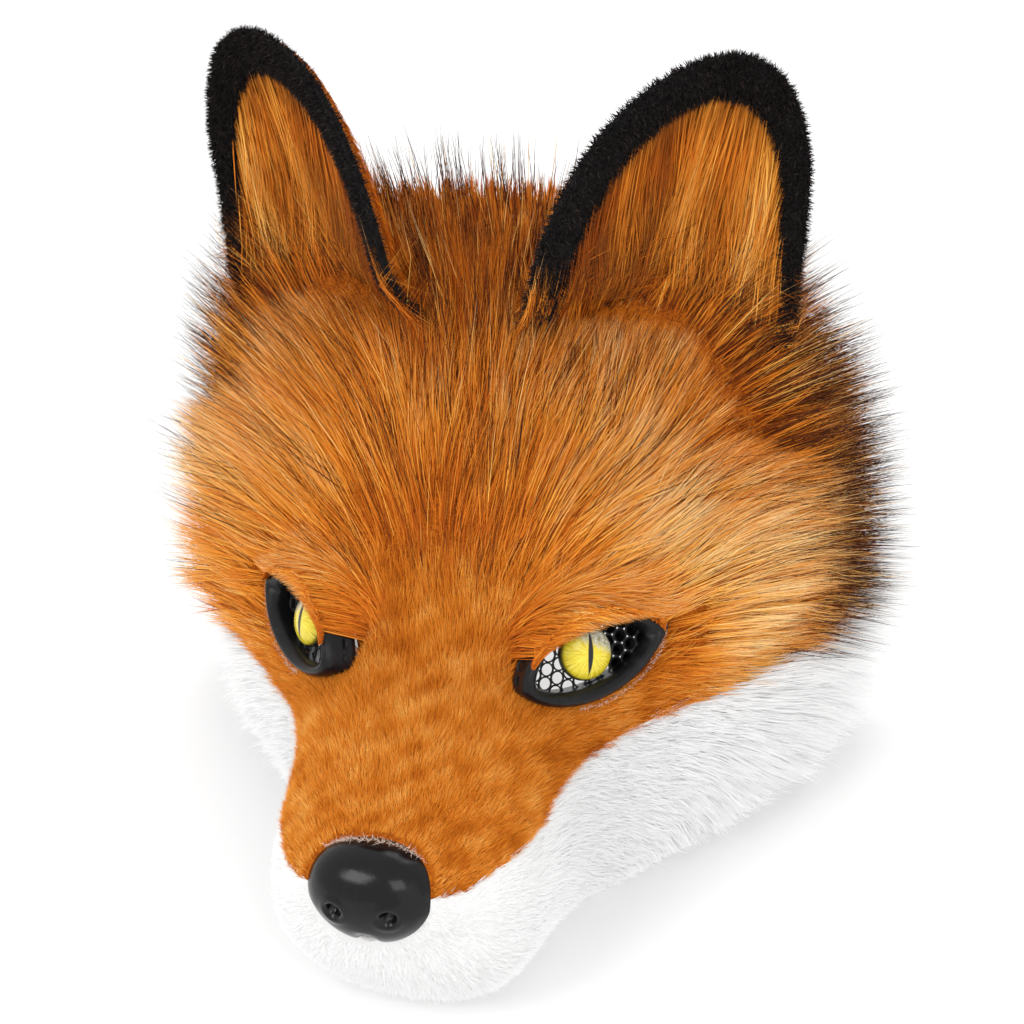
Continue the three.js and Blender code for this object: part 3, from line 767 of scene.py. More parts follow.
def grid_faces(rows, columns):
    """Quads of rings of points, each ring closed on itself."""
    r = np.arange(rows - 1)[:, None] * columns
    c = np.arange(columns)
    d = (c + 1) % columns
    return np.stack([r + c, r + d, r + columns + d, r + columns + c], -1).reshape(-1, 4)


def fan(start, count, pole):
    """Triangles from a ring of points to its pole."""
    c = np.arange(count)
    return np.stack([start + c, start + (c + 1) % count, np.full(count, pole)], -1)


# Strands


def ribbons(path, side, width, tint, taper=0.75):
    """Tapered ribbons along paths of equal length: points, triangles and the UV of each point."""
    count, steps, _ = path.shape
    along = np.linspace(0, 1, steps)
    half = (0.5 * width[:, None] * (1 - along) ** taper)[:, :-1, None]
    left = path[:, :-1] - half * side[:, None]
    right = path[:, :-1] + half * side[:, None]
    points = np.concatenate([np.stack([left, right], 2).reshape(count, -1, 3), path[:, -1:]], 1)
    local = []
    for a in range(0, 2 * (steps - 2), 2):
        local += [(a, a + 1, a + 3), (a, a + 3, a + 2)]
    local.append((2 * steps - 4, 2 * steps - 3, 2 * steps - 2))
    size = 2 * steps - 1
    triangles = np.array(local)[None] + (np.arange(count) * size)[:, None, None]
    u = np.clip(tint, 0, 1) * 0.96 + 0.01
    across = np.append(np.tile([0, 0.02], steps - 1), 0.01)
    v = np.append(np.repeat(along[:-1], 2), 1) * 0.98 + 0.01
    uv = np.stack([u[:, None] + across, np.broadcast_to(v, (count, size))], -1)
    return points.reshape(-1, 3), triangles.reshape(-1, 3), uv.reshape(-1, 2)


def add_fur(name, finish, slot, *parts):
    """One piece out of several sets of ribbons."""
    starts = np.cumsum([0] + [len(points) for points, _, _ in parts])
    triangles = np.vstack([faces + start for (_, faces, _), start in zip(parts, starts)])
    points, uv = (np.vstack([part[i] for part in parts]) for i in (0, 2))
    return add_piece(name, points, [triangles], finish, slot, uv=uv)


def clump_pull(roots, rng, per_clump):
    """For each root, the way to the middle of its clump, and the clump's number."""
    count = max(1, len(roots) // per_clump)
    picks = rng.choice(len(roots), count, replace=False)
    tree = KDTree(count)
    for number, pick in enumerate(picks):
        tree.insert(roots[pick], number)
    tree.balance()
    clump = np.array([tree.find(root)[1] for root in roots])
    return roots[picks[clump]] - roots, clump


GRID_ROWS, GRID_TURNS = 200, 280


def scattered(count, share, rng):
    """Points and outward directions spread over the skin by area times a share of the place."""
    row, turn = np.meshgrid(
        np.linspace(0, LAST_ROW, GRID_ROWS + 1), np.linspace(-math.pi, math.pi, GRID_TURNS + 1), indexing="ij"
    )
    corners = section_point(row, turn)
    diagonals = corners[1:, 1:] - corners[:-1, :-1], corners[1:, :-1] - corners[:-1, 1:]
    area = np.linalg.norm(np.cross(*diagonals), axis=-1)
    middle = 0.25 * (corners[1:, 1:] + corners[:-1, :-1] + corners[1:, :-1] + corners[:-1, 1:])
    chance = (area * on_pelt(middle) * share(middle)).ravel()
    cell = rng.choice(len(chance), count, p=chance / chance.sum())
    i, j = np.divmod(cell, GRID_TURNS)
    rows = (i + rng.random(count)) * LAST_ROW / GRID_ROWS
    turns = -math.pi + (j + rng.random(count)) * 2 * math.pi / GRID_TURNS
    return skin(rows, turns)


def on_pelt(points, eye_clearance=0.3, nose_clearance=-2):
    inside = (points[..., 2] > HEM) & (points[..., 1] < HEAD_DEPTH - 0.5)
    p, q, out = ear_local(points)
    ear = in_ear_outline(p, q, -1) & (out > -EAR_THICKNESS - 1) & (out < 0.5)
    return inside & ~in_eye(points, eye_clearance) & ~in_nose(points, nose_clearance) & ~ear


def crown_share(points):
    return smooth_step(points[..., 2], CROWN_FOOT, HEAD_HEIGHT)


def fur_length(points):
    """Length of the fur: short at the stop and beside the eyes, long to the crown and the sides."""
    x, y, z = np.moveaxis(points, -1, 0)
    behind_brow = smooth_step(y, BROW_FRONT - 8, BROW_FRONT + 30)
    behind_brow *= smooth_step(z, BROW_HEIGHT - 34, BROW_HEIGHT - 2)
    left = smooth_step(-x, 30, 80) * smooth_step(above_seam(points), -2, 14)
    temple = smooth_step(y, TEMPLE_BACK - 42 - 16 * left, TEMPLE_BACK + 34 - 34 * left)
    near_eye = 1 - 0.45 * (1 - smooth_step(off_eye(points), 0, 14))
    crown = smooth_step(z, 0.82 * HEAD_HEIGHT, HEAD_HEIGHT) * smooth_step(70 - np.abs(x), 0, 30)
    fluff = 1.02 - 0.13 * np.tanh(x / 40)
    share = np.maximum(behind_brow, temple)
    return (SHORT_HAIR + (LONG_HAIR - SHORT_HAIR) * share) * near_eye * (1 - 0.7 * crown) * fluff


def cheek_length(points):
    return 1.22 * fur_length(points)


def guard_length(points):
    return 1.12 * fur_length(points) + 9 + 12 * crown_share(points)


def plush_length(points):
    away = np.linalg.norm(points - NOSE_CENTRE, axis=-1)
    under_eye = smooth_step(points[:, 1], -6, 0.4 * HEAD_DEPTH)
    return 3.6 + 2.2 * smooth_step(away, 25, 75) + 7 * under_eye


def pile_height(points):
    """Height of the dense pile that the strands stand in."""
    plush = 0.6 * PLUSH_DEPTH
    behind = smooth_step(points[..., 1], BROW_FRONT - 16, BROW_FRONT + 2)
    near_eye = 0.3 + 0.7 * smooth_step(off_eye(points), 0, 10)
    return (plush + (0.14 * fur_length(points) - plush) * behind) * near_eye


FAN = np.array((0, -0.25 * MUZZLE_LENGTH, 0.4 * HEAD_HEIGHT))


def along_skin(flow, normals):
    return unit(flow - (flow * normals).sum(-1, keepdims=True) * normals)


def comb(points, normals, rng):
    """Flow, splay and share behind the stop: a fan away from the stop that sags and lifts to the sides."""
    back = np.clip((row_at(points[:, 1]) - STOP_ROW) / 4.5, 0, 1)
    flow = unit(points - FAN)
    flow[:, 2] -= 0.35 * (1 - normals[:, 2]) * back
    flow += 0.16 * wobble(points, (26, 30, 28), 11)
    flow += rng.normal(scale=0.05, size=flow.shape)
    splay = 0.26 + (0.2 + 0.27 * np.abs(normals[:, 0])) * back
    splay += 0.4 * smooth_step(points[:, 1], 0.68 * HEAD_DEPTH, HEAD_DEPTH)
    splay += 0.3 * smooth_step(-points[:, 0], 40, 90) * (1 - back)
    return along_skin(flow, normals), splay, back


def fur_paths(roots, normals, flow, splay, length, sag, steps):
    t = np.linspace(0, 1, steps)[None, :, None]
    length, splay, sag = length[:, None, None], splay[:, None, None], sag[:, None, None]
    along = flow[:, None] * (length * t * np.cos(splay))
    lift = normals[:, None] * (length * (t * np.sin(splay) - sag * t * t))
    return roots[:, None] + along + lift


def shortened(path, value, limit, least=0.22):
    """Strands drawn in so that a value that grows along them stays under a limit at the tip."""
    rise = np.maximum(value[:, -1] - value[:, 0], 1)
    share = np.where(value[:, -1] > limit, np.clip((limit - value[:, 0]) / rise, least, 1), 1)
    return path[:, :1] + (path - path[:, :1]) * share[:, None, None]


def settled(path, rng, unlimited=999):
    """Keeps strands off the floor, near the rim, clear of the view into the ears and off their faces."""
    count = len(path)
    path = shortened(path, path[..., 1], HEAD_DEPTH + FUR_OVERHANG + rng.uniform(2, 20, count))
    path = shortened(path, np.abs(path[..., 0]), 1.18 * HEAD_WIDTH / 2 + rng.uniform(16, 34, count))
    p, q, out = ear_local(path)
    near = in_ear_outline(p - 9 * smooth_step(p, 18, 40), np.maximum(q, 0), -5).any(1)
    before = (out[:, 0] > 0.5) & (out[:, -1] > 0) & (out[:, -1] < 60) & near
    outer = smooth_step(p[:, -1], 6, 38)
    limit = (0.34 - 0.2 * outer) * np.maximum(out[:, -1], 0) + rng.uniform(-4, 5, count) - 32 * outer
    path = shortened(path, q, np.where(before, limit, unlimited))
    p, q, out = ear_local(path)
    front = (out[:, :1] > 0.5) & (out[:, :1] < 60)
    lift = 1.0 + 4 * rng.random((count, 1))
    inside = in_ear_outline(p, q, -2) & front & (out < lift)
    side = np.where(path[..., :1] < 0, (-1, 1, 1), (1, 1, 1))
    path = path + np.where(inside, lift - out, 0)[..., None] * EAR_OUT * side
    low = 0.6 + 1.5 * rng.random((count, 1))
    path[..., 2] = np.where(path[..., 2] < low, low, path[..., 2])
    return path


def side_vectors(path, normals, rng, roll=0.5):
    tangent = unit(path[:, -1] - path[:, 0])
    across = unit(np.cross(tangent, normals))
    over = np.cross(across, tangent)
    angle = rng.normal(scale=roll, size=len(path))[:, None]
    return np.cos(angle) * across + np.sin(angle) * over


def long_fur(count, share, seed, tint, length, width=(0.29, 0.54), per_clump=24, pull=0.36, lift=0.0):
    """Long combed fur over part of the skin, in clumps that narrow to their tips."""
    rng = np.random.default_rng(seed)
    points, normals = scattered(count, share, rng)
    flow, splay, back = comb(points, normals, rng)
    to_clump, clump = clump_pull(points, rng, per_clump)
    clump_tint = rng.normal(size=clump.max() + 1)[clump]
    clump_bend = rng.normal(scale=0.13, size=(clump.max() + 1, 3))[clump]
    flow = unit(flow + clump_bend - (clump_bend * normals).sum(-1, keepdims=True) * normals)
    splay = splay + lift + 0.07 * rng.normal(size=count) + 0.05 * clump_tint
    lengths = length(points) * (0.78 + 0.36 * rng.random(count))
    sag = 0.1 + 0.06 * rng.random(count)
    path = fur_paths(points + 0.8 * normals, normals, flow, splay, lengths, sag, 4)
    t = np.linspace(0, 1, 4)[None, :, None]
    path = settled(path + to_clump[:, None] * pull * t**1.4, rng)
    side = side_vectors(path, normals, rng)
    widths = rng.uniform(*width, count)
    return ribbons(path, side, widths, tint(points, normals, back, clump_tint, rng))


def orange_tint(points, normals, back, clump_tint, rng):
    """Rust in the middle and in streaks, a gold band over the brow, gold sides and dark hairs behind."""
    x, y = points[:, 0], points[:, 1]
    tint = 0.52 + 0.07 * noise(points, 34, 21) + 0.05 * noise(points, 11, 22) + 0.045 * clump_tint
    tint += 0.2 * hump(y, 0.36 * HEAD_DEPTH, 26) * (1 + 0.4 * np.tanh(x / 30))
    tint += 0.09 * np.abs(normals[:, 0]) * back
    tint -= 0.25 * hump(x, 0, 22) * (1 - 0.4 * back)
    tint += rng.normal(scale=0.09, size=len(points))
    crown = smooth_step(points[:, 2], 0.88 * HEAD_HEIGHT, HEAD_HEIGHT)
    dark = 0.035 + 0.15 * smooth_step(y, 0.45 * HEAD_DEPTH, 0.8 * HEAD_DEPTH) * (1 - crown)
    tint += 0.08 * crown
    is_dark = rng.random(len(points)) < dark
    return np.where(is_dark, rng.uniform(0.02, 0.24, len(points)), np.clip(tint, 0.3, 0.98))


def white_tint(points, _normals, _back, clump_tint, rng):
    tint = 0.72 + 0.12 * noise(points, 18, 31) + 0.06 * clump_tint + rng.normal(scale=0.12, size=len(points))
    return np.clip(tint, 0.05, 1)


def guard_tint(points, _normals, _back, _clump_tint, rng):
    pale = rng.random(len(points)) < 0.08
    return np.where(pale, rng.uniform(0.75, 0.95, len(points)), rng.uniform(0.0, 0.18, len(points)))


def plush_tint(points, rng):
    tint = 0.52 + 0.13 * noise(points, 6, 51) + 0.09 * noise(points, 16, 52) + 0.09 * noise(points, 3, 53)
    return np.clip(tint + rng.normal(scale=0.13, size=len(points)), 0, 1)


def lip_tint(points, rng):
    return np.clip(0.8 + 0.08 * noise(points, 12, 54) + rng.normal(scale=0.08, size=len(points)), 0, 1)


def short_plush(count, share, seed, tint, splay, width):
    """Short dense plush, brushed back from the nose."""
    rng = np.random.default_rng(seed)
    points, normals = scattered(count, share, rng)
    flow = unit(points - NOSE_CENTRE) + (0, 0.8, 0.12)
    flow += 0.3 * wobble(points, (9, 10, 8), 41)
    flow += rng.normal(scale=0.3, size=flow.shape)
    lengths = plush_length(points) * (0.75 + 0.5 * rng.random(count))
    lean = splay + 0.18 * rng.normal(size=count)
    roots = points + 0.9 * pile_height(points)[:, None] * normals
    path = fur_paths(roots, normals, along_skin(flow, normals), lean, lengths, np.full(count, 0.12), 2)
    path = settled(path, rng)
    side = side_vectors(path, normals, rng, 0.6)
    return ribbons(path, side, rng.uniform(*width, count), tint(points, rng))


# Closed sheets over the skin: the shell, and the dense pile of each pelt


def skin_grid(rows, turns):
    """Points, outward directions, faces and the faces' corners of the whole skin."""
    row, turn = np.meshgrid(
        np.linspace(0, LAST_ROW, rows), np.linspace(-math.pi, math.pi, turns + 1)[:-1], indexing="ij"
    )
    points, normals = skin(row, turn)
    faces = grid_faces(rows, turns)[:, ::-1]
    return points, normals, faces, points.reshape(-1, 3)[faces]


def between_layers(kept, layers, low, back):
    """A closed solid between two layers over the kept faces, cut level at the hem and at the rim."""
    used, compact = np.unique(kept, return_inverse=True)
    compact = compact.reshape(kept.shape)
    points = [layer.reshape(-1, 3)[used] for layer in layers]
    for layer in points:
        layer[:, 1] = np.minimum(layer[:, 1], back)
        layer[:, 2] = np.maximum(layer[:, 2], low)
    count = len(used)
    edges = np.concatenate([compact[:, [i, (i + 1) % 4]] for i in range(4)])
    rim = edges[~np.isin(edges[:, 0] * count + edges[:, 1], edges[:, 1] * count + edges[:, 0])]
    walls = np.stack([rim[:, 1], rim[:, 0], rim[:, 0] + count, rim[:, 1] + count], -1)
    return np.vstack(points), [compact, compact[:, ::-1] + count, walls]


def undercoat(name, region, finish, slot, replaces):
    points, normals, faces, corners = skin_grid(84, 116)
    middle = corners.mean(1)
    shown = (corners[..., 2] > HEM).any(1) & (corners[..., 1] < HEAD_DEPTH - 0.5).any(1)
    middle[:, 1] = np.minimum(middle[:, 1], HEAD_DEPTH - 1)
    middle[:, 2] = np.maximum(middle[:, 2], HEM + 1)
    kept = faces[shown & region(middle) & on_pelt(middle, -3.5, -4.5)]
    layers = (points + pile_height(points)[..., None] * normals, points + 0.4 * normals)
    points, groups = between_layers(kept, layers, 0.5, HEAD_DEPTH - 0.2)
    add_piece(name, points, groups, finish, slot, replaces)


def shell_walls():
    points, normals, faces, corners = skin_grid(76, 104)
    shown = (corners[..., 2] > 0).any(1) & (corners[..., 1] < HEAD_DEPTH).any(1)
    kept = faces[shown & ~in_eye(corners.mean(1), -4)]
    points, groups = between_layers(kept, (points, points - SHELL_WALL * normals), 0, HEAD_DEPTH)
    add_piece("shell_walls", points, groups, FOAM, "shell_foam", ["face_shell"])


shell_walls()
undercoat("forehead_pelt", forehead, ORANGE_PELT_WITH_PAINTED_SHADE, "orange_fur", ["forehead_fur"])
undercoat("muzzle_pelt", muzzle, ORANGE_PELT_WITH_PAINTED_SHADE, "orange_plush", ["muzzle_plush"])
undercoat("lip_pelt", lip, WHITE_PELT, "white_plush", ["lip_plush"])
undercoat("cheek_pelt", cheek, WHITE_PELT, "white_fur", ["cheek_fur_right", "cheek_fur_left"])

for side_name, sign in (("right", 1), ("left", -1)):
    strands = long_fur(
        FOREHEAD_STRANDS, on_side(forehead_share, sign), 100 + sign, orange_tint, fur_length
    )
    add_fur(f"forehead_fur_strands_{side_name}", ORANGE_FUR, "orange_fur", strands)
    strands = long_fur(
        CHEEK_STRANDS, on_side(cheek_share, sign), 200 + sign, white_tint, cheek_length, lift=0.12
    )
    add_fur(f"cheek_fur_strands_{side_name}", WHITE_FUR, "white_fur", strands)
strands = long_fur(
    GUARD_HAIRS, guard_share, 300, guard_tint, guard_length, (0.24, 0.42), per_clump=5, pull=0.6, lift=0.2
)
add_fur("guard_hairs", ORANGE_FUR, "orange_fur", strands)
strands = short_plush(MUZZLE_STRANDS, muzzle_share, 400, plush_tint, 0.55, (0.2, 0.36))
add_fur("muzzle_plush_strands", ORANGE_PLUSH, "orange_plush", strands)
strands = short_plush(LIP_STRANDS, lip_share, 401, lip_tint, 0.5, (0.27, 0.44))
add_fur("lip_plush_strands", WHITE_FUR, "white_plush", strands)


# Ears: all of these are made for the right ear, and mirrored for the left one


def ear_body(rings=14):
    """Points and faces of the backing, cupped, with its root laid onto the shell."""
    rim = ear_arch(1.5)
    share = np.linspace(0, 1, 36)[1:-1, None]
    arch = np.vstack([rim, rim[-1] + (rim[0] - rim[-1]) * share])
    shares = np.linspace(0, 1, rings + 1)[1:, None, None]
    spread = EAR_CENTRE + (arch - EAR_CENTRE) * shares
    front = ear_place(spread[..., 0], spread[..., 1], 0.0)
    back = ear_place(spread[..., 0], spread[..., 1], -EAR_THICKNESS)
    middles = ear_place(EAR_CENTRE[0], EAR_CENTRE[1], np.array((0.0, -EAR_THICKNESS)))
    points = np.vstack([front.reshape(-1, 3), back[::-1].reshape(-1, 3), middles])
    columns = len(arch)
    end = (2 * rings - 1) * columns
    first, last = len(points) - 2, len(points) - 1
    caps = [fan(0, columns, first)[:, ::-1], fan(end, columns, last)]
    return lifted_clear(points, 0.5), [grid_faces(2 * rings, columns), *caps]


BAND_CROWN = [
    (0.0, -2.1),
    (-0.1, 0.6),
    (0.05, 2.3),
    (0.28, 3.5),
    (0.5, 3.85),
    (0.75, 3.3),
    (0.95, 1.9),
    (1.0, 0.3),
]


def band_rings():
    """Rings round the band along the rim of the ear, each crowned over it and closed under it."""
    outer, inner, rim = ear_arch(0), ear_arch(TRIM_WIDTH), ear_arch(1.6)
    rings = [(outer + (inner - outer) * share, out) for share, out in BAND_CROWN]
    rings += [(rim, 0.3), (rim, -2.1)]
    return np.stack([ear_place(flat[:, 0], flat[:, 1], out) for flat, out in rings], 1)


BAND_RINGS = band_rings()


def band_body():
    rings = BAND_RINGS[4:-4]
    count, around, _ = rings.shape
    start = np.arange(around)[None]
    ends = [start, (count - 1) * around + start[:, ::-1]]
    return lifted_clear(rings.reshape(-1, 3), 0.5), [grid_faces(count, around), *ends]


def ear_strands(roots, direction, out, length, lift, sag, tint, width, rng, sign, steps=4):
    """Strands laid over the ear's own surface and carried with its cup."""
    t = np.linspace(0, 1, steps)[None]
    p = roots[:, :1] + direction[:, :1] * length[:, None] * t
    q = roots[:, 1:] + direction[:, 1:] * length[:, None] * t
    rise = out[:, None] + length[:, None] * (np.sin(lift)[:, None] * t - sag * t * t)
    path = ear_place(p, q, rise)
    keep = (over_skin(path[:, 0]) > 0.5) & (over_skin(path[:, -1]) > -2)
    path, width, tint = path[keep], width[keep], tint[keep]
    side = side_vectors(path, np.broadcast_to(EAR_OUT, (len(path), 3)), rng)
    if sign < 0:
        path, side = mirrored(path), mirrored(side)
    return ribbons(path, side, width, tint)


def in_ear(count, inset, rng, low):
    """Places on the ear within an inset of its rim."""
    p = rng.uniform(-EAR_WIDTH / 2, EAR_WIDTH / 2, 4 * count)
    q = rng.uniform(low, EAR_HEIGHT, 4 * count)
    inside = in_ear_outline(p, q, inset)
    return np.stack([p[inside], q[inside]], -1)[:count]


def ear_lining(sign, rng):
    """Gold fur combed down from the tip."""
    roots = in_ear(EAR_LINING_STRANDS, TRIM_WIDTH - 3, rng, 26)
    count = len(roots)
    p, q = roots.T
    high = q / EAR_HEIGHT
    direction = np.stack([0.03 - 0.001 * p + rng.normal(scale=0.06, size=count), -np.ones(count)], -1)
    direction[:, 0] += 0.10 * np.sin(p / 5.0 + 2 * np.sin(q / 17))
    length = (17 + 20 * np.clip(high, 0, 1)) * rng.uniform(0.75, 1.2, count)
    lift = 0.17 + 0.08 * rng.normal(size=count)
    tint = 0.24 + 0.27 * high + 0.11 * np.sin(p / 3.7 + 3 * high) + 0.007 * p
    tint = np.clip(tint + rng.normal(scale=0.12, size=count), 0.16, 1)
    dark = 0.5 * hump(p, 20, 14) * hump(q, 34, 12)
    tint = np.where(rng.random(count) < dark, rng.uniform(0, 0.15, count), tint)
    width = rng.uniform(0.36, 0.66, count)
    out = 0.8 + rng.random(count)
    return ear_strands(roots, unit(direction), out, length, lift, 0.06, tint, width, rng, sign)


def ear_tuft(sign, rng):
    """Rust fur combed up and outward from the inner foot, dark at its outer tips."""
    roots = in_ear(EAR_TUFT_STRANDS, TRIM_WIDTH - 3, rng, -14)
    roots = roots[roots[:, 1] < 34 + rng.normal(scale=4, size=len(roots))]
    count = len(roots)
    p, q = roots.T
    outward = np.clip((p + 30) / 60, 0, 1)
    aside = 0.75 + 0.2 * rng.normal(size=count)
    direction = unit(np.stack([aside, 0.75 - 0.7 * outward + 0.18 * rng.normal(size=count)], -1))
    length = rng.uniform(10, 20, count) * (1 - 0.35 * outward)
    lift = 0.3 + 0.1 * rng.normal(size=count)
    dark = 0.85 * smooth_step(p, -6, 22) * hump(q, 12, 16)
    is_dark = rng.random(count) < dark
    tint = np.where(is_dark, rng.uniform(0, 0.16, count), 0.2 + 0.09 * rng.normal(size=count))
    width = rng.uniform(0.36, 0.62, count)
    out = 0.8 + rng.random(count)
    return ear_strands(roots, direction, out, length, lift, 0.1, np.clip(tint, 0, 1), width, rng, sign)


def ear_back_plush(sign, rng):
    roots = in_ear(EAR_BACK_STRANDS, 0.5, rng, -18)
    count = len(roots)
    direction = unit(np.stack([rng.normal(scale=0.25, size=count), -np.ones(count)], -1))
    length = rng.uniform(4.5, 7.5, count)
    place = ear_place(roots[:, 0], roots[:, 1], -EAR_THICKNESS)
    tint = np.clip(0.5 + 0.15 * noise(place, 8, 61) + rng.normal(scale=0.1, size=count), 0, 1)
    lift = -0.35 + 0.15 * rng.normal(size=count)
    out = np.full(count, -EAR_THICKNESS + 0.2)
    width = rng.uniform(0.3, 0.5, count)
    return ear_strands(roots, direction, out, length, lift, 0.0, tint, width, rng, sign, 2)


def on_band(i, j):
    """Points of the band between its rings."""
    i0, j0 = np.floor(i).astype(int), np.floor(j).astype(int)
    s, t = (i - i0)[:, None], (j - j0)[:, None]
    near = BAND_RINGS[i0, j0] * (1 - s) + BAND_RINGS[i0 + 1, j0] * s
    far = BAND_RINGS[i0, j0 + 1] * (1 - s) + BAND_RINGS[i0 + 1, j0 + 1] * s
    return near * (1 - t) + far * t


def band_plush(sign, rng):
    """Short black plush standing off the band."""
    along, last = len(BAND_RINGS), len(BAND_CROWN) - 1
    i = rng.uniform(2, along - 3, BAND_STRANDS)
    j = rng.uniform(0, last, BAND_STRANDS)
    keep = over_skin(on_band(i, j)) > 1
    i, j = i[keep], j[keep]
    root = on_band(i, j)
    lengthwise = on_band(np.minimum(i + 0.3, along - 2), j) - on_band(np.maximum(i - 0.3, 0), j)
    sideways = on_band(i, np.minimum(j + 0.2, last - 0.01)) - on_band(i, np.maximum(j - 0.2, 0))
    normal = unit(np.cross(lengthwise, sideways))
    centre = 0.5 * (on_band(i, np.full(len(i), last - 0.1)) + on_band(i, np.zeros(len(i))))
    normal *= np.sign(((root - centre) * normal).sum(-1))[:, None]
    direction = unit(normal + rng.normal(scale=0.45, size=normal.shape) + (0, 0, -0.25))
    length = rng.uniform(1.8, 3.2, len(root))
    path = root[:, None] + direction[:, None] * (length[:, None] * (0, 1))[..., None]
    side = unit(np.cross(direction, rng.normal(size=direction.shape)))
    tint = np.where(rng.random(len(root)) < 0.06, 1.0, rng.uniform(0, 0.8, len(root)))
    if sign < 0:
        path, side = mirrored(path), mirrored(side)
    return ribbons(path, side, rng.uniform(0.3, 0.55, len(root)), tint)


for side_name, sign in (("right", 1), ("left", -1)):
    rng = np.random.default_rng(500 + sign)
    replaced = [f"ear_shell_{side_name}", f"ear_fur_{side_name}"]
    add_piece(f"ear_backing_{side_name}", *ear_body(), ORANGE_PELT_WITH_PAINTED_SHADE, "ear_backing", replaced, sign=sign)
    replaced = [f"ear_trim_{side_name}"]
    add_piece(f"ear_band_{side_name}", *band_body(), BLACK_PELT, "black_plush", replaced, sign=sign)
    lining = ear_lining(sign, rng)
    add_fur(f"ear_lining_strands_{side_name}", EAR_FUR, "ear_lining_fur", lining, ear_tuft(sign, rng))
    add_fur(f"ear_back_strands_{side_name}", ORANGE_PLUSH, "ear_backing", ear_back_plush(sign, rng))
    add_fur(f"ear_band_strands_{side_name}", BLACK_PLUSH, "black_plush", band_plush(sign, rng))


# Eyes: the mouldings are made for the right eye, and mirrored for the left one

LID_PROFILE = [
    (0, -LID_ROOT),
    (0, -1),
    (0.02, 1.6),
    (0.3, 4.0),
    (0.62, 3.6),
    (0.92, 1.6),
    (1, -0.4),
    (1, -LID_ROOT),
]


def lid(count=96):
    """Points and faces of the moulded rim, drawn out to a point at its outer corner."""
    angles = np.linspace(0, 2 * math.pi, count + 1)[:-1]
    corner = np.clip(np.cos(angles), 0, 1) ** 9
    rings = []
    for share, out in curve_through(LID_PROFILE, 26):
        across, upward = almond(angles, share)
        height = out - (0.9 * corner if out > 0 else 0)
        rings.append(eye_place(across + 4 * corner * (1 - share), upward, height))
    quads = grid_faces(len(rings) + 1, count) % (len(rings) * count)
    return np.vstack(rings), [quads]


def perforated_sheet(sides=12):
    """Six-sided cells round rounded holes; toward the outer end of the eye the holes are capped behind in
    black, a dark sheet for painted shade.
    """
    corners = np.arange(sides) / sides * 2 * math.pi + math.pi / 6
    cell = MESH_PITCH / 2 / np.cos(corners % (math.pi / 3) - math.pi / 6)
    reach = EYE_WIDTH / 2 - 2
    c = np.arange(sides)
    d = (c + 1) % sides
    points, quads = [], []
    for row in range(-5, 6):
        for step in range(-7, 8):
            x = (step + (abs(row) % 2) / 2) * MESH_PITCH
            rise = row * MESH_PITCH * math.sin(math.pi / 3)
            height = (LID_RISE if rise > -GLASS_LIFT else LID_DROP) - 1.2
            outside = (x / reach) ** 2 + ((rise + GLASS_LIFT) / height) ** 2 > 1
            if outside or math.hypot(x, rise) < GLASS_DIAMETER / 2 - 3.5:
                continue
            top = len(points) * sides
            for out in (-MESH_DEPTH, -MESH_DEPTH - MESH_THICKNESS):
                for radius in (cell, MESH_HOLE / 2):
                    across = x + radius * np.cos(corners)
                    upward = rise + GLASS_LIFT + radius * np.sin(corners)
                    points.append(eye_place(across, upward, out))
            for a, b in ((0, 1), (1, 3), (3, 2)):
                quads.append(top + np.stack([a * sides + c, a * sides + d, b * sides + d, b * sides + c], -1))
            # Holes toward the outer corner are capped in black: painted shade behind the sheet, where the fur
            # and lid cast shadow.
            if x > PAINTED_SHADE_CELLS_FROM:
                closed = [(0, 3, 6, 9), (0, 1, 2, 3), (3, 4, 5, 6), (6, 7, 8, 9), (9, 10, 11, 0)]
                quads.append(top + 3 * sides + np.array(closed))
    return np.vstack(points), [np.vstack(quads)]


def eye_dome(rings=16, count=64, pupil_tilt=22):
    """Points, faces and UV of the glass dome, the UV turned to stand the pupil up."""
    angles = np.linspace(0, 2 * math.pi, count + 1)[:-1]
    radius = np.append(np.linspace(0, 1, rings + 1)[1:], 1.0)
    out = np.append(GLASS_HEIGHT * np.sqrt(np.maximum(1 - radius[:-1] ** 2, 0)) ** 0.9, -0.6)
    seat_height = 0.35 - MESH_DEPTH
    flat = radius[:, None, None] * np.stack([np.cos(angles), np.sin(angles)], -1)
    size = GLASS_DIAMETER / 2
    places = eye_place(size * flat[..., 0], size * flat[..., 1] + GLASS_LIFT, out[:, None] + seat_height)
    tip = eye_place(0, GLASS_LIFT, GLASS_HEIGHT + seat_height)
    points = np.vstack([places.reshape(-1, 3), tip])
    cos, sin = math.cos(math.radians(pupil_tilt)), math.sin(math.radians(pupil_tilt))
    uv = np.vstack([flat.reshape(-1, 2) @ np.array([(cos, sin), (-sin, cos)]) * 0.49 + 0.5, (0.5, 0.5)])
    base = (np.arange(count) + rings * count)[None]
    return points, [grid_faces(rings + 1, count)[:, ::-1], fan(0, count, len(points) - 1), base[:, ::-1]], uv


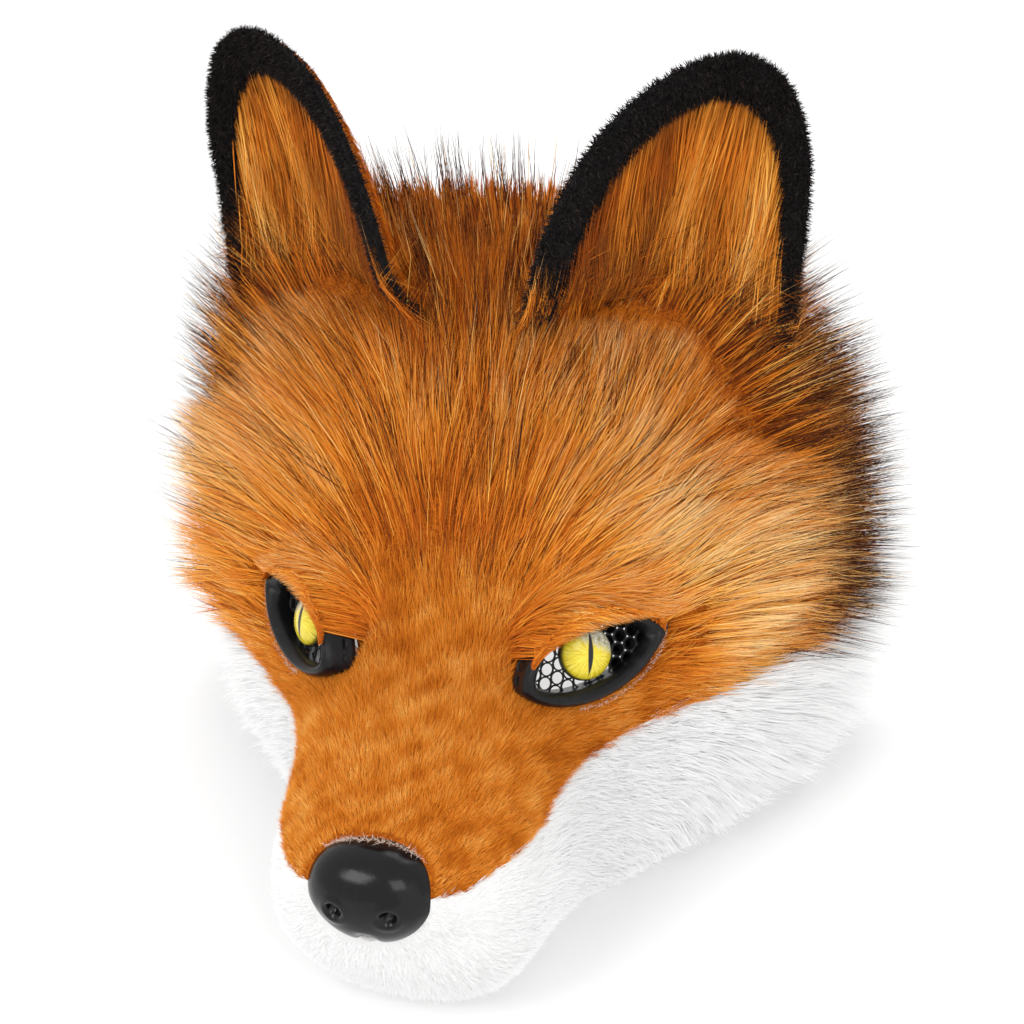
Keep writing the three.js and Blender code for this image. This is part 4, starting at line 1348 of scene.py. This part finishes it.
def frayed_edge(places, outward, rng, per_place, length, width):
    """Short pale threads at the cut edge of a pelt."""
    roots = np.repeat(places, per_place, 0) + rng.normal(scale=0.35, size=(len(places) * per_place, 3))
    direction = unit(np.repeat(outward, per_place, 0) + rng.normal(scale=0.7, size=roots.shape))
    lengths = length * rng.uniform(0.5, 1.3, len(roots))
    bend = rng.normal(scale=0.3, size=roots.shape)
    t = np.linspace(0, 1, 4)[None, :, None]
    path = roots[:, None] + lengths[:, None, None] * (direction[:, None] * t + bend[:, None] * t * t)
    side = unit(np.cross(direction, rng.normal(size=direction.shape)))
    return ribbons(path, side, np.full(len(roots), width), rng.random(len(roots)), taper=0.4)


def lid_threads(sign, rng):
    """Threads along the lower edge of the lid."""
    across, upward = almond(np.linspace(-math.pi * 0.62, math.pi * 0.04, 120), 0, -1.1)
    edge = eye_place(across, upward, 2.0)
    outward = unit(edge - EYE_CENTRE) * 0.5 + EYE_AXES[:, 2] * 0.8
    if sign < 0:
        edge, outward = mirrored(edge), mirrored(outward)
    return frayed_edge(edge, outward, rng, 3, 1.1, 0.13)


# The brow's lower edge, across and up from the middle of the eye
BROW_EDGE = np.array([(-30, 10), (-22, 9.6), (-12, 9.8), (0, 9.6), (12, 8), (22, 5.5), (30, 3)])


def brow_fringe(sign, rng, count=BROW_STRANDS):
    """Fur of the brow that sweeps outward, hides the upper half of the lid and joins the forehead's comb."""
    x = rng.uniform(-22.5, 27, count)
    flat = np.clip(x / (EYE_WIDTH / 2), -0.999, 0.999)
    lid_top = LID_RISE * (1 - flat**2) ** EYE_ROUNDING
    above = -1.5 + 13 * rng.random(count) * smooth_step(x, -36, -16)
    out = np.zeros(count)
    for _ in range(3):
        off = over_skin(eye_place(x, lid_top + above, out))
        out -= np.clip(off - (0.6 + 1.6 * rng.random(count)), -6, 6)
    start = eye_place(x, lid_top + above, out)
    tip_x = x + rng.uniform(6, 13, count)
    edge = np.interp(tip_x, BROW_EDGE[:, 0], BROW_EDGE[:, 1])
    tip_y = edge + 1.3 * np.abs(rng.normal(size=count)) + np.clip(above, 0, 6) / 6 * (lid_top - edge)
    tip = eye_place(tip_x, tip_y, np.maximum(out + 2.5, 5.0) + rng.uniform(-0.4, 1.4, count))
    normals = unit(np.stack([over_skin(start + axis) - over_skin(start - axis) for axis in np.eye(3)], -1))
    flow = comb(start, normals, rng)[0]
    length = rng.uniform(0.9, 1.5, count)[:, None] * fur_length(start)[:, None]
    combed = start + flow * length + normals * rng.uniform(1.5, 3.5, count)[:, None]
    share = smooth_step(above + rng.normal(scale=1.5, size=count), 0.5, 8)[:, None]
    end = tip * (1 - share) + combed * share
    t = np.linspace(0, 1, 4)[None, :, None]
    lift = rng.uniform(1.2, 2.4, count)[:, None] * normals
    path = start[:, None] + (end - start)[:, None] * t + lift[:, None] * (4 * t * (1 - t))
    height = ((path - EYE_CENTRE) @ EYE_AXES)[..., 2]
    crest = LID_PROUD + rng.uniform(0.5, 1.8, count)[:, None] * np.ones(4)
    over_lid = in_eye(path, 1.0) & (height < crest)
    path = path + np.where(over_lid, crest - height, 0)[..., None] * EYE_AXES[:, 2]
    side = side_vectors(path, normals, rng)
    tint = orange_tint(start, normals, np.zeros(count), rng.normal(size=count), rng)
    if sign < 0:
        path, side = mirrored(path), mirrored(side)
    return ribbons(path, side, rng.uniform(0.34, 0.6, count), tint)


for side_name, sign in (("right", 1), ("left", -1)):
    strands = brow_fringe(sign, np.random.default_rng(650 + sign))
    add_fur(f"brow_fringe_{side_name}", ORANGE_FUR, "orange_fur", strands)
    replaced = [f"eyelid_{side_name}"]
    add_piece(f"lid_moulding_{side_name}", *lid(), LID_BLACK, "lid_moulding", replaced, sign=sign)
    replaced = [f"eye_mesh_{side_name}"]
    add_piece(f"eye_sheet_{side_name}", *perforated_sheet(), MESH_BLACK, "eye_mesh", replaced, sign=sign)
    points, groups, uv = eye_dome()
    replaced = [f"glass_eye_{side_name}"]
    add_piece(f"eye_dome_{side_name}", points, groups, EYE_PAINT, "eye_dome", replaced, uv, sign)
    threads = lid_threads(sign, np.random.default_rng(600 + sign))
    add_fur(f"lid_backing_edge_{side_name}", THREAD, "orange_plush", threads)


# Nose


def power(value, exponent):
    return np.sign(value) * np.abs(value) ** exponent


def nose_moulding(rings=100, count=132):
    """A rounded block, narrower below, with a groove under its middle and two nostrils with raised rims."""
    lat = np.linspace(0, math.pi, rings + 1)[1:-1, None]
    lon = np.linspace(0, 2 * math.pi, count + 1)[None, :-1]
    ball = [np.sin(lat) * np.cos(lon), np.sin(lat) * np.sin(lon), np.cos(lat) * np.ones_like(lon)]
    x, y, z = np.vstack([np.stack(ball, -1).reshape(-1, 3), [(0, 0, 1), (0, 0, -1)]]).T
    chinward = np.clip(-z, 0, 1)
    groove = np.where(y < 0, 0.3 * smooth_step(chinward, 0.25, 0.8) * hump(x, 0, 0.11), 0)
    wide = power(x, 0.85) * (1 - 0.22 * chinward) * NOSE_WIDTH / 2
    high = power(z, 0.9) * NOSE_HEIGHT / 2
    deep = y * (1 - groove) * NOSE_DEPTH / 2
    for side in (-1, 1):
        away = np.hypot(wide - side * NOSTRIL_SPACING / 2, high - 0.04 * NOSE_HEIGHT)
        pit = 3.6 * (1 - smooth_step(away, 1.0, 3.4)) - 0.45 * hump(away, 4.2, 1.1)
        deep += np.where(deep < 0, pit, 0)
    points = np.column_stack([wide, deep, high]) + NOSE_CENTRE
    end = (rings - 2) * count
    north, south = len(points) - 2, len(points) - 1
    caps = [fan(0, count, north), fan(end, count, south)[:, ::-1]]
    groups = [grid_faces(rings - 1, count)[:, ::-1], *caps]
    add_piece("nose_moulding", points, groups, NOSE_BLACK, "nose_moulding", ["nose"])


def nose_threads(rng):
    """Threads along the upper edge of the nose."""
    angles = np.linspace(math.radians(10), math.radians(170), 130)
    across = np.cos(angles) * (NOSE_WIDTH / 2 + 0.3)
    edge = NOSE_CENTRE + np.column_stack(
        [across, 2.2 + 1.5 * np.sin(angles), np.sin(angles) * (NOSE_HEIGHT / 2 + 0.6)]
    )
    return frayed_edge(edge, unit(edge - NOSE_CENTRE) + (0, -0.8, 0), rng, 5, 1.5, 0.18)


nose_moulding()
add_fur("nose_backing_edge", THREAD, "orange_plush", nose_threads(np.random.default_rng(700)))


# Floor and light


def floor(reach=6):
    mesh = bpy.data.meshes.new("floor")
    corners = [(-reach, -reach, 0), (reach, -reach, 0), (reach, reach, 0), (-reach, reach, 0)]
    mesh.from_pydata(corners, [], [(0, 1, 2, 3)])
    finish = Finish("floor", Roughness=0.8, Specular_IOR_Level=0.1, Base_Color=(0.93, 0.93, 0.93, 1))
    mesh.materials.append(finish.material)
    made = bpy.data.objects.new("floor", mesh)
    bpy.context.scene.collection.objects.link(made)
    made.visible_diffuse = False


def soft_light(name, place, aim, size, power):
    lamp = bpy.data.lights.new(name, "AREA")
    lamp.size = size
    lamp.energy = power
    made = bpy.data.objects.new(name, lamp)
    bpy.context.scene.collection.objects.link(made)
    made.location = place
    made.rotation_euler = (Vector(aim) - Vector(place)).to_track_quat("-Z", "Y").to_euler()


floor()
soft_light("left light", (-0.8, -1.1, 1.6), (0, 0, 0.12), 0.8, 10)
soft_light("right light", (0.9, -1.2, 1.5), (0, 0, 0.12), 0.8, 6)
soft_light("fill light", (1.4, -1.1, 0.7), (0, 0, 0.08), 1.6, 3)
soft_light("back light", (0.3, 1.4, 1.5), (0, 0, 0.15), 1.2, 8)
world = bpy.data.worlds.new("studio")
world.use_nodes = True
world.node_tree.nodes["Background"].inputs["Color"].default_value = (1, 1, 1, 1)
world.node_tree.nodes["Background"].inputs["Strength"].default_value = 1.0
bpy.context.scene.world = world
bpy.context.scene.view_settings.view_transform = "Standard"
